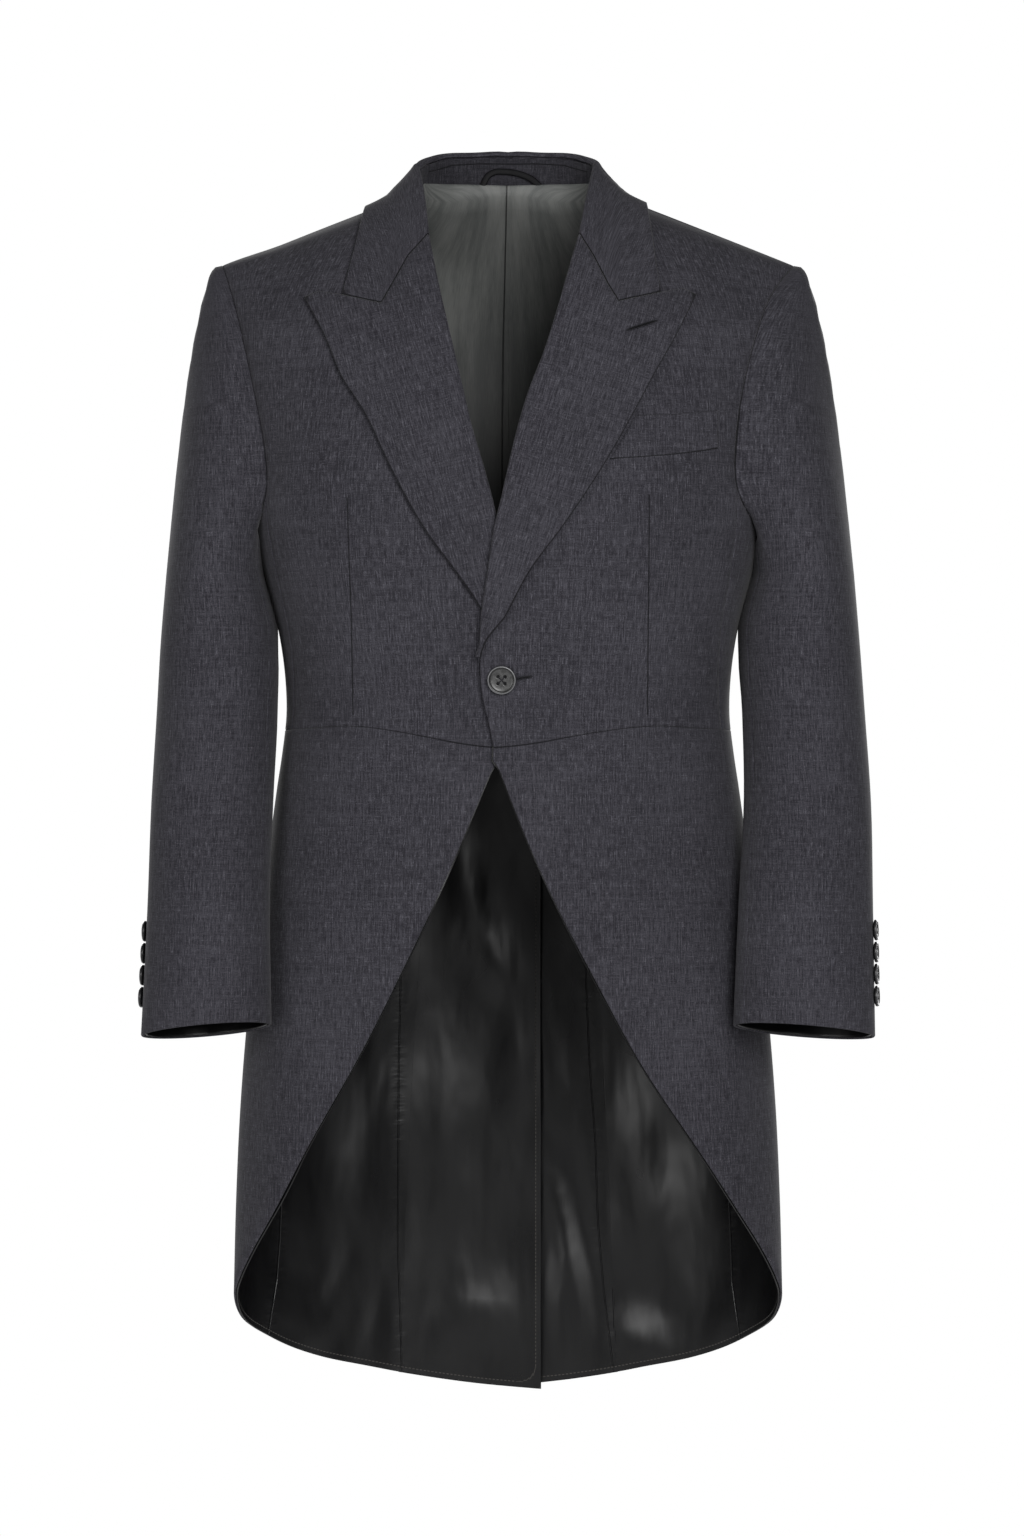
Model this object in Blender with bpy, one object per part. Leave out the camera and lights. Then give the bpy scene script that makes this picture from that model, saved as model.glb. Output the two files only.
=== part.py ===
# A grey morning coat in its worn form, each cut piece a closed wall of cloth.
# Tables are in millimetres and degrees. +X is the wearer's left, -Y the front, +Z up.
# The origin is where the shoulders and neck carry the coat.
import math

import bmesh
import bpy
import numpy as np
from mathutils import Matrix, Vector

MM = 0.001

# Thickness of each kind of wall, and how far pieces stay apart
CLOTH = 2.0
LAPEL_CLOTH = 1.5
SATIN = 1.0
SEAM_GAP = 0.3
LINING_GAP = 0.3
LAID_ON_GAP = 1.7
WELT_GAP = 0.7
CUFF_LINING_GAP = 1.0

# The shoulder line: its height at the collar edge, its slope and how softly it turns at the neck
SHOULDER_TOP = -7.2
COLLAR_EDGE_AT = 113.6
SHOULDER_SLOPE = 0.40
NECK_EASE = 30.0
# How far below the shoulder line the chest and back reach their full depth
SHOULDER_ARCH = 118.0

# The body at each height: half width, depth in front and behind, how far the front's centre line
# lies off the middle, and how square the section is
BODY = {
    "height": (-970, -880, -800, -720, -640, -560, -480, -440, -412, -382, -352,
               -300, -262, -225, -170, -110, -54, 0, 50),
    "half_width": (221.5, 219.7, 218, 214.5, 208, 198, 186, 180, 177, 178, 182,
                   195, 203, 207, 214, 223, 232, 236, 240),
    "front": (128, 126, 124, 123, 122, 121, 119, 118, 118, 121, 125,
              131, 133, 131, 121, 106, 86, 70, 60),
    "back": (130, 128, 126, 123, 119, 112, 103, 98, 95, 97, 101,
             109, 115, 119, 121, 117, 104, 85, 80),
    "centre": (0, 0, -5, -10.5, -10.5, -10.5, -10, -9, -7, -5.5, -7,
               -9, -10, -10, -8, -6, -4, -2, 0),
    "square": (2.0, 2.0, 2.0, 2.0, 2.0, 2.1, 2.2, 2.3, 2.3, 2.3, 2.3,
               2.3, 2.3, 2.3, 2.3, 2.3, 2.3, 2.3, 2.3),
}

# The front edge of each forepart, as a distance out from the middle: roll line, then button stand
FRONT_EDGE = {
    "height": (-450, -440, -420, -400, -382, -355, -332, -304, -270, -247, -224,
               -192, -165, -137, -105, -72, -38, -15, 9),
    "right": (8, 3, -4, -9, -10, -7, -3, 3, 10.5, 15.5, 21.5,
              31, 37, 43.5, 51, 58, 64.5, 68.5, 72.5),
    "left": (-8.4, -10.8, -14.7, -19.5, -21.5, -20, -17, -13, -7.5, -2, 3,
             10.5, 18.5, 29, 39, 48, 57.5, 64.5, 72.5),
}

# The outer edge of each lapel, bottom to tip, and how the lapel widens again at its foot
LAPEL_EDGE = {
    "height": (-368, -352, -334, -300, -267, -224, -175, -151, -117, -84),
    "right": (-1, 7, 17, 41, 65, 89, 112.7, 128, 142, 159),
    "left": (-20.8, -13, -3, 17, 42, 71, 99, 111.5, 130.6, 147),
}
LAPEL_FOOT_WIDER = 7.0
LAPEL_FOOT_CURVE = 6
# Rows of front and lapel lie a little closer together at the top
FRONT_ROW_CURVE = 0.85
LAPEL_ROW_CURVE = 0.9

# The gorge seam from the roll line to the notch, then the lapel's top edge out to its peak
GORGE = {
    "height": (-38, -53, -77, -90.5, -82.5, -79, -84),
    "right": (64.5, 78, 91, 98.5, 129.5, 148, 159),
    "left": (57.5, 66.5, 78, 86, 119.3, 137, 147),
}
NOTCH = 4
# The gorge is this many seam gaps wide, because its two turned rolls meet at an angle
GORGE_GAP = 2.5

# The collar round the neck, from the centre back to the gorge: its fold and its outer edge as a
# distance from the middle and degrees over the shoulder arch (behind it below zero), and the rise
COLLAR = {
    "fold": (0, 24, 47, 64, 72.5, 71, 68.5),
    "fold_arch": (-29, -28, -24, -13, 0, 13, 24),
    "rise": (31, 31.5, 32, 31, 24, 13, 6),
    "edge": (0, 36, 70, 97, 110.5, 112, 113.5),
    "edge_arch": (-43, -42, -37, -22, 0, 14, 26),
}
COLLAR_EDGE_FRONT = {"height": (-35, -58), "right": (119, 124), "left": (113.5, 116)}
FALL_CURVE = 1.4
FALL_CLEARANCE = 1.3

# The armhole, once round the sleeve from the shoulder point by the front: the drop below the
# shoulder line and the distance from the middle
ARMHOLE = {
    "around": (0, 18, 40, 64, 86, 108, 130, 153, 180, 207, 232, 256, 280, 304, 328, 346, 360),
    "drop": (0, 33, 72, 116, 154, 190, 210, 218, 219.7, 218, 205, 175, 135, 94, 47, 18, 0),
    "right": (228, 218.5, 209.5, 200.5, 193.5, 190, 193, 199, 203,
              201.5, 199.5, 199, 200, 204, 214, 222.5, 228),
    "left": (228, 209.5, 196.5, 186, 181, 179, 184, 195, 203,
             201.5, 199.5, 199, 200, 204, 214, 222.5, 228),
}
SIDE_FRONT_SEAM_AT = 120
BACK_SEAM_AT = 285
ROUND_STEP = 15
# The sleeve stands off the armhole by this many half seam gaps
ARMHOLE_GAP = 3.0

# The sleeve below the armhole: its outer and inner reach, its depth and where its middle lies
SLEEVE = {
    "height": (-655, -560, -480, -410, -352, -300),
    "right_outer": (288, 284, 282, 279, 276.5, 272.5),
    "right_inner": (185.5, 187.6, 185.5, 183, 184.2, 197),
    "left_outer": (287.5, 287, 287, 283.5, 280, 276),
    "left_inner": (176.3, 181.5, 186.5, 186, 184.2, 197),
    "depth": (86, 98, 108, 116, 124, 132),
    "right_middle": (-75, -59, -44, -26, -14, -8),
    "left_middle": (-85, -68, -46, -26, -14, -8),
}
BICEPS = -300
SLEEVE_HEAD_SHARES = (0.05, 0.15, 0.32, 0.6)
SLEEVE_HEAD_CURVE = 0.46
SLEEVE_HEAD_LIFT = 0.8
SLEEVE_BODY_GAP = 1.5
CUFF_TILT_FRONT = 7.0
CUFF_TILT_OUTSIDE = -4.5
FOREARM_SEAM_AT = 150
HIND_SEAM_TOP = 300
HIND_SEAM_CUFF = 352

# The waist seam and the curved back seam, by degrees round the body from the centre front
WAIST_SEAM = {
    "turn": (-10, 0, 9, 18, 27, 40, 60, 90, 130, 180),
    "height": (-437, -438, -435, -430, -425.5, -421.6, -423, -424, -420, -418),
}
SIDE_FRONT_WAIST = 73
BACK_SEAM = {"height": (-418, -370, -300, -240), "turn": (162, 157, 143, 128)}
TAIL_SEAM_HEM = 156

# The skirt's cut edge from the waist down to the side, then the hem round to the centre back
SKIRT_EDGE = {
    "turn": (-3, 0, 2.2, 4.5, 11.2, 20.6, 31, 42.5, 56, 68, 79, 90,
             100, 117, 128, 136, 149, 158, 172, 180, 190),
    "height": (-450, -450, -466, -485, -540, -610, -680, -740, -800, -835, -860, -877,
               -894, -914, -927, -935, -945, -952, -960, -963, -966),
}
SKIRT_ROW_SHARES = (0, 0.037, 0.07, 0.2, 0.35, 0.51, 0.68, 0.84, 1)
# How far the skirt's columns even out by the hem
HEM_EVENNESS = 0.35

# The vent: the right tail laps inside the left one
VENT_LAP = 27.0
VENT_DIP = 4.6
VENT_START = -420.0
VENT_RUN = 20.0
VENT_EASE = 18.0
VENT_FULL = 4.0
LEFT_TAIL_PAST_MIDDLE = 2.0

# How deep the right forepart dips where it passes under the left one
UNDERLAP = {
    "height": (-520, -470, -450, -420, -385, -340, -270, -200),
    "depth": (0, 3.4, 5.0, 5.4, 6.6, 7.2, 7.2, 7.2),
}
UNDERLAP_FULL = 8.0
UNDERLAP_EASE = 32.0

# The turned roll of lapel and collar
ROLL_OUTER = 3.0
ROLL_CENTRE = (-1.5, -1.1)
ROLL_ANGLES = (-90, -135, -180, -225, -270)

# The stand: its clearance at foot and head, how far it leans in, the point on the middle line that
# it turns round, and the last key of the neck table that it reaches
STAND_FOOT = 0.8
STAND_HEAD = 4.6
STAND_LEAN = 1.5
STAND_CENTRE = 5.0
STAND_LAST = 5

WELT = {"height": (-180, -174, -204, -214.5), "left": (99.5, 164.4, 164.3, 79.5)}

# Buttons, each profile from the back up over the rim to the dish, inward of the rim
FRONT_BUTTON_AT = (-4.9, -386.0)
FRONT_BUTTON_RADIUS = 11.3
FRONT_BUTTON_PROFILE = {"inward": (3.0, 0.6, 0, 0.8, 2.2, 3.4), "height": (0, 1.0, 2.8, 4.0, 4.0, 2.9)}
FRONT_BUTTON_SEGMENTS = 24
BUTTON_HOLE_RADIUS = 1.1
BUTTON_HOLE_SPREAD = 2.3
BUTTON_HOLE_DEPTH = 12.0
CUFF_BUTTON_RADIUS = 8.2
CUFF_BUTTON_PROFILE = {"inward": (2.0, 0, 0.7, 2.2), "height": (0, 1.2, 3.2, 2.7)}
CUFF_BUTTON_SEGMENTS = 12
CUFF_BUTTON_HEIGHTS = (-578.5, -595.5, -612.5, -629.5)
CUFF_BUTTON_AROUND = {"right": 352, "left": 8}
BUTTON_SEAT = 0.4

# The hanger loop: a flat tape that arches against the stand
LOOP = {"across": (-21, -16, -10, -1, 7, 14, 21, 26), "height": (14.4, 20, 23, 24, 23.6, 22, 18, 15)}
LOOP_WIDTH = 4.0
LOOP_THICK = 1.2
LOOP_GAP = 0.3

CUFF_LINING_ROWS = 2
CUFF_LINING_DEPTH = 33.0
CUFF_LINING_SET_BACK = 1.0

CLOTH_COLOUR = (60, 59, 65)
STAND_COLOUR = (45, 44, 49)
GREY_SATIN_COLOUR = (84, 84, 84)
BLACK_SATIN_COLOUR = (30, 30, 32)
BUTTON_COLOUR = (78, 78, 79)
TAPE_COLOUR = (26, 26, 28)


def clear_scene():
    for item in list(bpy.data.objects):
        bpy.data.objects.remove(item, do_unlink=True)


def smooth(keys, values, at):
    """A soft curve through the values at the keys, level past both ends."""
    keys = np.asarray(keys, float)
    values = np.asarray(values, float)
    if keys[0] > keys[-1]:
        keys, values = keys[::-1], values[::-1]
    slopes = np.gradient(values, keys)
    at = np.clip(np.asarray(at, float), keys[0], keys[-1])
    k = np.clip(np.searchsorted(keys, at) - 1, 0, len(keys) - 2)
    span = keys[k + 1] - keys[k]
    t = (at - keys[k]) / span
    rise = values[k + 1] - values[k]
    start, end = slopes[k] * span, slopes[k + 1] * span
    return values[k] + t * (start + t * (3 * rise - 2 * start - end + t * (start + end - 2 * rise)))


def column(table, name, at, key="height"):
    return smooth(table[key], table[name], at)


def ease(share):
    share = np.clip(share, 0, 1)
    return share * share * (3 - 2 * share)


def through(points, shares):
    """Points at shares of the way along a soft curve through the given points."""
    points = np.asarray(points, float)
    steps = np.linalg.norm(np.diff(points, axis=0), axis=1)
    along = np.concatenate([[0], np.cumsum(steps)]) / steps.sum()
    return np.stack([smooth(along, points[:, k], shares) for k in range(points.shape[1])], axis=-1)


def unit(vectors):
    return vectors / np.linalg.norm(vectors, axis=-1, keepdims=True)


def shoulder_line(across):
    """The height of the shoulder line at a distance from the middle."""
    return SHOULDER_TOP - SHOULDER_SLOPE * (
        np.hypot(across, NECK_EASE) - math.hypot(COLLAR_EDGE_AT, NECK_EASE))


def drop_of(arch):
    low = SHOULDER_ARCH * (1 - np.cos(np.radians(np.minimum(arch, 90))))
    return low + SHOULDER_ARCH * np.radians(np.maximum(arch - 90, 0))


def arch_of(drop):
    drop = np.maximum(drop, 0)
    high = np.degrees(np.arccos(1 - np.minimum(drop / SHOULDER_ARCH, 1)))
    return high + np.degrees(np.maximum(drop / SHOULDER_ARCH - 1, 0))


def bare_form(side, turn, arch):
    """The coat's outer surface: degrees round from the centre front, and degrees down the
    shoulder arch. Below zero the arch runs down the other side of the shoulder."""
    turn, arch = np.broadcast_arrays(np.asarray(turn, float), np.asarray(arch, float))
    turn = np.where(arch < 0, 180 - turn, turn)
    arch = np.abs(arch)
    sine, cosine = np.sin(np.radians(turn)), np.cos(np.radians(turn))
    drop = drop_of(arch)
    across = BODY["half_width"][0] * sine
    for _ in range(8):
        height = shoulder_line(across) - drop
        across = column(BODY, "half_width", height) * sine
    square = column(BODY, "square", height)
    fullness = np.maximum(1 - np.abs(sine) ** square, 0) ** (1 / square)
    fullness = fullness * np.sin(np.radians(np.minimum(arch, 90)))
    depth = np.where(cosine > 0, -column(BODY, "front", height), column(BODY, "back", height))
    centre = column(BODY, "centre", height) * np.where(cosine > 0, cosine**2, 0)
    return np.stack([side * across + centre, depth * fullness, height], axis=-1)


def form_normal(side, turn, arch, step=0.25):
    round_way = bare_form(side, turn + step, arch) - bare_form(side, turn - step, arch)
    down_way = bare_form(side, turn, arch + step) - bare_form(side, turn, arch - step)
    return unit(np.cross(down_way, round_way)) * side


def underlap(points):
    """How far the right forepart lies below the form, under the left one."""
    height = points[..., 2]
    left_edge = column(FRONT_EDGE, "left", height)
    past = points[..., 0] - left_edge + UNDERLAP_FULL + UNDERLAP_EASE
    in_front = np.where(points[..., 1] < 0, 1.0, 0.0)
    return column(UNDERLAP, "depth", height) * ease(past / UNDERLAP_EASE) * in_front


def vent_dip(points):
    """How far the right tail lies inside the form, under the left one."""
    past = points[..., 0] + LEFT_TAIL_PAST_MIDDLE + VENT_EASE + VENT_FULL
    down = ease((VENT_START - points[..., 2]) / VENT_RUN)
    behind = np.where(points[..., 1] > 0, 1.0, 0.0)
    return VENT_DIP * ease(past / VENT_EASE) * down * behind


def form(side, spots, out=0.0):
    """The form at (turn, arch) spots, moved out along its normal."""
    turn, arch = spots[..., 0], spots[..., 1]
    points = bare_form(side, turn, arch)
    if side < 0:
        out = out - underlap(points) - vent_dip(points)
    out = np.broadcast_to(out, points.shape[:-1])
    return points + form_normal(side, turn, arch) * out[..., None]


def spot(side, across, height, back=False):
    """The (turn, arch) of the form's point at a distance from the middle and a height."""
    across, height = np.broadcast_arrays(np.asarray(across, float), np.asarray(height, float))
    half_width = column(BODY, "half_width", height)
    centre = side * column(BODY, "centre", height)
    local = across
    if not back:
        for _ in range(8):
            turn = np.arcsin(np.clip(local / half_width, -1, 1))
            local = across - centre * np.cos(turn) ** 2
    turn = np.degrees(np.arcsin(np.clip(local / half_width, -1, 1)))
    arch = arch_of(shoulder_line(local) - height)
    return np.stack([180 - turn if back else turn, arch], axis=-1)


def level_spot(turn, height):
    """The (turn, arch) at degrees round the body and a height, on either half."""
    turn, height = np.broadcast_arrays(np.asarray(turn, float), np.asarray(height, float))
    across = column(BODY, "half_width", height) * np.sin(np.radians(turn))
    return np.stack([turn, arch_of(shoulder_line(across) - height)], axis=-1)


def patch(left, right, top, bottom):
    """A grid of spots between four border curves that share their corners."""
    rows, columns = len(left), len(top)
    down = np.linspace(0, 1, rows)[:, None, None]
    over = np.linspace(0, 1, columns)[None, :, None]
    sides = (1 - over) * left[:, None] + over * right[:, None]
    ends = (1 - down) * top[None] + down * bottom[None]
    corners = ((1 - down) * ((1 - over) * top[0] + over * top[-1])
               + down * ((1 - over) * bottom[0] + over * bottom[-1]))
    return sides + ends - corners


def grid_normals(grid):
    down = np.gradient(grid, axis=0)
    over = np.gradient(grid, axis=1)
    return unit(np.cross(down, over))


def seam_moves(grid, seams):
    """Moves that pull the named borders of a grid back by half a seam gap, square to the seam."""
    moves = np.zeros_like(grid)
    borders = {"top": (0, 1, 0), "bottom": (-1, -2, 0), "left": (0, 1, 1), "right": (-1, -2, 1)}
    for name in seams:
        edge, inside, axis = borders[name]
        edge_line = np.take(grid, edge, axis=axis)
        inward = np.take(grid, inside, axis=axis) - edge_line
        along = unit(np.gradient(edge_line, axis=0))
        inward = unit(inward - along * np.sum(inward * along, axis=1, keepdims=True))
        if axis == 0:
            moves[edge] += inward * SEAM_GAP / 2
        else:
            moves[:, edge] += inward * SEAM_GAP / 2
    return moves


def finish(name, colour, roughness):
    material = bpy.data.materials.get(name) or bpy.data.materials.new(name)
    material.use_nodes = True
    shader = material.node_tree.nodes["Principled BSDF"]
    linear = [((level / 255 + 0.055) / 1.055) ** 2.4 for level in colour]
    shader.inputs["Base Color"].default_value = (*linear, 1)
    shader.inputs["Roughness"].default_value = roughness
    shader.inputs["Metallic"].default_value = 0.0
    material.diffuse_color = (*linear, 1)
    return material


CLOTH_FINISH = ("worsted", CLOTH_COLOUR, 0.9)
STAND_FINISH = ("worsted_shade", STAND_COLOUR, 0.9)
GREY_FINISH = ("grey_satin", GREY_SATIN_COLOUR, 0.42)
BLACK_FINISH = ("black_satin", BLACK_SATIN_COLOUR, 0.35)
BUTTON_FINISH = ("horn", BUTTON_COLOUR, 0.3)
TAPE_FINISH = ("tape", TAPE_COLOUR, 0.7)


def add_object(name, bm, look):
    bmesh.ops.recalc_face_normals(bm, faces=bm.faces)
    bmesh.ops.triangulate(bm, faces=bm.faces, quad_method="SHORT_EDGE")
    mesh = bpy.data.meshes.new(name)
    bm.to_mesh(mesh)
    bm.free()
    mesh.materials.append(finish(*look))
    mesh.shade_smooth()
    mesh.set_sharp_from_angle(angle=math.radians(40))
    item = bpy.data.objects.new(name, mesh)
    bpy.context.scene.collection.objects.link(item)
    return item


def wall(name, outer, inner, look, closed=False):
    """A closed wall between two grids of points in millimetres. A closed one is a tube: its last
    column joins its first."""
    rows, columns = outer.shape[:2]
    bm = bmesh.new()
    faces_of = [[[bm.verts.new(Vector(p) * MM) for p in row] for row in grid]
                for grid in (outer, inner)]
    last = columns if closed else columns - 1
    for r in range(rows - 1):
        for c in range(last):
            d = (c + 1) % columns
            for skin in faces_of:
                bm.faces.new((skin[r][c], skin[r][d], skin[r + 1][d], skin[r + 1][c]))
    front, rear = faces_of
    for r in (0, rows - 1):
        for c in range(last):
            d = (c + 1) % columns
            bm.faces.new((front[r][c], front[r][d], rear[r][d], rear[r][c]))
    if not closed:
        for c in (0, columns - 1):
            for r in range(rows - 1):
                bm.faces.new((front[r][c], front[r + 1][c], rear[r + 1][c], rear[r][c]))
    return add_object(name, bm, look)


def panel(name, side, spots, seams, look=CLOTH_FINISH, top=0.0, thick=CLOTH):
    """A cut piece of the body: its outer face on the form, parted from its neighbours."""
    outer, inner = form(side, spots, top), form(side, spots, top - thick)
    moves = seam_moves(outer, seams)
    return wall(name, outer + moves, inner + moves, look)


def side_name(side):
    return "left" if side > 0 else "right"


def armhole_spots(side, around):
    across = column(ARMHOLE, side_name(side), around, "around")
    drop = column(ARMHOLE, "drop", around, "around")
    height = shoulder_line(across) - drop
    around = np.asarray(around, float)
    front, rear = spot(side, across, height), spot(side, across, height, back=True)
    spots = np.where((around <= 180)[..., None], front, rear)
    at_top = (around == 0) | (around == 360)
    spots[..., 1] = np.where(at_top, 0, spots[..., 1])
    return spots


def round_steps(start, end):
    return np.arange(start, end + 1, ROUND_STEP)


def front_edge_spots(side, heights):
    return spot(side, column(FRONT_EDGE, side_name(side), heights), heights)


def waist_spots(turns):
    return level_spot(turns, column(WAIST_SEAM, "height", turns, "turn"))


def side_front_seam(side, rows=6):
    start = armhole_spots(side, [SIDE_FRONT_SEAM_AT])[0]
    end = waist_spots(np.array([SIDE_FRONT_WAIST]))[0]
    return through([start, (start + end) / 2 + (-1.0, 0), end], np.linspace(0, 1, rows + 1))


def back_seam(side, rows=6):
    start = armhole_spots(side, [BACK_SEAM_AT])[0]
    lower = level_spot(BACK_SEAM["turn"], BACK_SEAM["height"])[::-1]
    lower[-1] = waist_spots(np.array([BACK_SEAM["turn"][0]]))[0]
    return through([start, *lower], np.linspace(0, 1, rows + 1))


def neck_spots(count):
    """The back neck, from the centre back to the shoulder, as spots behind the shoulder."""
    shares = np.linspace(0, 1, count)
    across = smooth(np.linspace(0, 1, 5), COLLAR["fold"][:5], shares)
    arch = -smooth(np.linspace(0, 1, 5), COLLAR["fold_arch"][:5], shares)
    height = shoulder_line(across) - drop_of(arch)
    turn = 180 - np.degrees(np.arcsin(across / column(BODY, "half_width", height)))
    return np.stack([turn, arch], axis=-1)


def shoulder_spots(start, end, count):
    """The shoulder seam between two distances from the middle, on the front's side of it."""
    across = np.linspace(start, end, count)
    turn = np.degrees(np.arcsin(across / column(BODY, "half_width", shoulder_line(across))))
    return np.stack([turn, np.zeros(count)], axis=-1)


def front_spots(side, columns=8):
    armhole = armhole_spots(side, round_steps(0, SIDE_FRONT_SEAM_AT))
    outside = np.concatenate([armhole, side_front_seam(side)[1:]])
    neck_at = COLLAR["fold"][4]
    top = shoulder_spots(neck_at, ARMHOLE["left"][0], columns + 1)
    shares = np.linspace(0, 1, len(outside)) ** FRONT_ROW_CURVE
    edge_top, edge_end = FRONT_EDGE["height"][-1], column(WAIST_SEAM, "height", 0, "turn")
    edge = front_edge_spots(side, edge_top + shares * (edge_end - edge_top))
    edge[0] = top[0]
    bottom_turns = edge[-1][0] + (SIDE_FRONT_WAIST - edge[-1][0]) * np.linspace(0, 1, columns + 1)
    bottom = waist_spots(bottom_turns)
    edge[-1] = bottom[0]
    outside[0] = top[-1]
    return patch(edge, outside, top, bottom)


def side_body_spots(side):
    top = armhole_spots(side, round_steps(SIDE_FRONT_SEAM_AT, BACK_SEAM_AT))
    fore, rear = side_front_seam(side), back_seam(side)
    turns = np.linspace(SIDE_FRONT_WAIST, BACK_SEAM["turn"][0], len(top))
    return patch(fore, rear, top, waist_spots(turns))


def skirt_row_heights(top, bottom):
    return top + (bottom - top) * np.array(SKIRT_ROW_SHARES)


def skirt_edge_height(turn):
    return column(SKIRT_EDGE, "height", turn, "turn")


def height_at(place):
    """The height of the form at one (turn, arch) spot."""
    return bare_form(1, place[0], place[1])[2]


def back_spots(side):
    """The upper back and the tail, which share the row at the waist."""
    neck, shoulder_columns = neck_spots(4), 4
    shoulder = shoulder_spots(COLLAR["fold"][4], ARMHOLE["left"][0], shoulder_columns + 1)
    shoulder[:, 0] = 180 - shoulder[:, 0]
    top = np.concatenate([neck[:-1], shoulder])
    armhole = armhole_spots(side, round_steps(BACK_SEAM_AT, 360))[::-1]
    outside = np.concatenate([armhole, back_seam(side)[1:]])
    outside[0] = top[-1]
    waist_turns = np.linspace(180, BACK_SEAM["turn"][0], len(top))
    waist = waist_spots(waist_turns)
    centre_heights = np.linspace(shoulder_line(0) - drop_of(-COLLAR["fold_arch"][0]),
                                 column(WAIST_SEAM, "height", 180, "turn"), len(outside))
    centre = level_spot(180, centre_heights)
    centre[0], centre[-1] = top[0], waist[0]
    upper = patch(centre, outside, top, waist)

    rows = len(SKIRT_ROW_SHARES)
    seam_turns = np.linspace(BACK_SEAM["turn"][0], TAIL_SEAM_HEM, rows)
    seam_heights = skirt_row_heights(height_at(outside[-1]), skirt_edge_height(TAIL_SEAM_HEM))
    seam = level_spot(seam_turns, seam_heights)
    seam[0] = waist[-1]
    past = -LEFT_TAIL_PAST_MIDDLE if side > 0 else -VENT_LAP
    lap = past * ease(np.arange(rows) - 1)
    hem_turns = np.linspace(180 - math.degrees(past / BODY["half_width"][0]), TAIL_SEAM_HEM,
                            len(top))
    hem = level_spot(hem_turns, skirt_edge_height(hem_turns))
    middle_heights = skirt_row_heights(height_at(waist[0]), skirt_edge_height(hem_turns[0]))
    half_width = column(BODY, "half_width", middle_heights)
    middle = level_spot(180 - np.degrees(np.arcsin(lap / half_width)), middle_heights)
    middle[0], middle[-1] = waist[0], hem[0]
    return upper, patch(middle, seam, waist, hem)


def skirt_spots(side):
    fore_turns = front_spots(side)[-1, :, 0]
    side_turns = side_body_spots(side)[-1, :, 0]
    turns = np.concatenate([fore_turns, side_turns[1:]])
    top = waist_spots(turns)
    even = np.linspace(0, 1, len(turns))
    as_above = (turns - turns[0]) / (turns[-1] - turns[0])
    low_share = HEM_EVENNESS * even + (1 - HEM_EVENNESS) * as_above
    low_turns = turns[0] + (TAIL_SEAM_HEM - turns[0]) * low_share
    shares = np.array(SKIRT_ROW_SHARES)[:, None]
    run = turns[None] * (1 - shares) + low_turns[None] * shares
    top_height = column(WAIST_SEAM, "height", turns, "turn")[None]
    low_height = skirt_edge_height(low_turns)[None]
    grid = level_spot(run, top_height + (low_height - top_height) * shares)
    grid[0] = top
    seam_turns = np.linspace(BACK_SEAM["turn"][0], TAIL_SEAM_HEM, len(SKIRT_ROW_SHARES))
    seam_heights = skirt_row_heights(height_at(top[-1]), skirt_edge_height(TAIL_SEAM_HEM))
    grid[1:, -1] = level_spot(seam_turns, seam_heights)[1:]
    return grid


def make_body(side):
    name = side_name(side)
    panel(f"front_{name}", side, front_spots(side), ("top", "right", "bottom"))
    panel(f"side_body_{name}", side, side_body_spots(side), ("top", "left", "right", "bottom"))
    upper, tail = back_spots(side)
    whole = np.concatenate([upper, tail[1:]])
    panel(f"back_{name}", side, whole, ("top", "left", "right"))
    skirt = skirt_spots(side)
    panel(f"skirt_{name}", side, skirt, ("top", "right"))
    lining_top = -(CLOTH + LINING_GAP)
    every_seam = ("top", "left", "right", "bottom")
    panel(f"back_lining_{name}", side, upper, every_seam, GREY_FINISH, lining_top, SATIN)
    panel(f"tail_lining_{name}", side, tail, every_seam, BLACK_FINISH, lining_top, SATIN)
    panel(f"skirt_lining_{name}", side, skirt, every_seam, BLACK_FINISH, lining_top, SATIN)


def sleeve_ring(side, height, around):
    """The sleeve at and below the biceps: degrees round from its outer side by the front."""
    name = side_name(side)
    outer = column(SLEEVE, f"{name}_outer", height)
    inner = column(SLEEVE, f"{name}_inner", height)
    angle = np.radians(around)
    tilt = ease((BICEPS - height) / (BICEPS - SLEEVE["height"][0]))
    across = (outer + inner) / 2 + (outer - inner) / 2 * np.cos(angle)
    half_depth = column(SLEEVE, "depth", height) / 2
    deep = column(SLEEVE, f"{name}_middle", height) - half_depth * np.sin(angle)
    level = height + tilt * (CUFF_TILT_FRONT * np.sin(angle) + CUFF_TILT_OUTSIDE * np.cos(angle))
    return np.stack(np.broadcast_arrays(side * across, deep, level), axis=-1)


def sleeve_head(side, share, around):
    """The sleeve between the armhole and the biceps."""
    spots = armhole_spots(side, around)
    lift = form_normal(side, spots[..., 0], spots[..., 1]) * SLEEVE_HEAD_LIFT
    start = bare_form(side, spots[..., 0], spots[..., 1]) + lift
    end = sleeve_ring(side, BICEPS, around)
    reach = share**SLEEVE_HEAD_CURVE
    points = start + (end - start) * np.stack([reach, reach, share], axis=-1)
    body_side = column(BODY, "half_width", points[..., 2])
    clear = body_side + SLEEVE_HEAD_LIFT + (SLEEVE_BODY_GAP - SLEEVE_HEAD_LIFT) * ease(share * 5)
    under = np.cos(np.radians(around)) < -0.8
    across = np.where(under, np.maximum(side * points[..., 0], clear), side * points[..., 0])
    points[..., 0] = side * across
    return points


def hind_seam_at(share):
    return HIND_SEAM_TOP + (HIND_SEAM_CUFF - HIND_SEAM_TOP) * ease(share)


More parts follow.
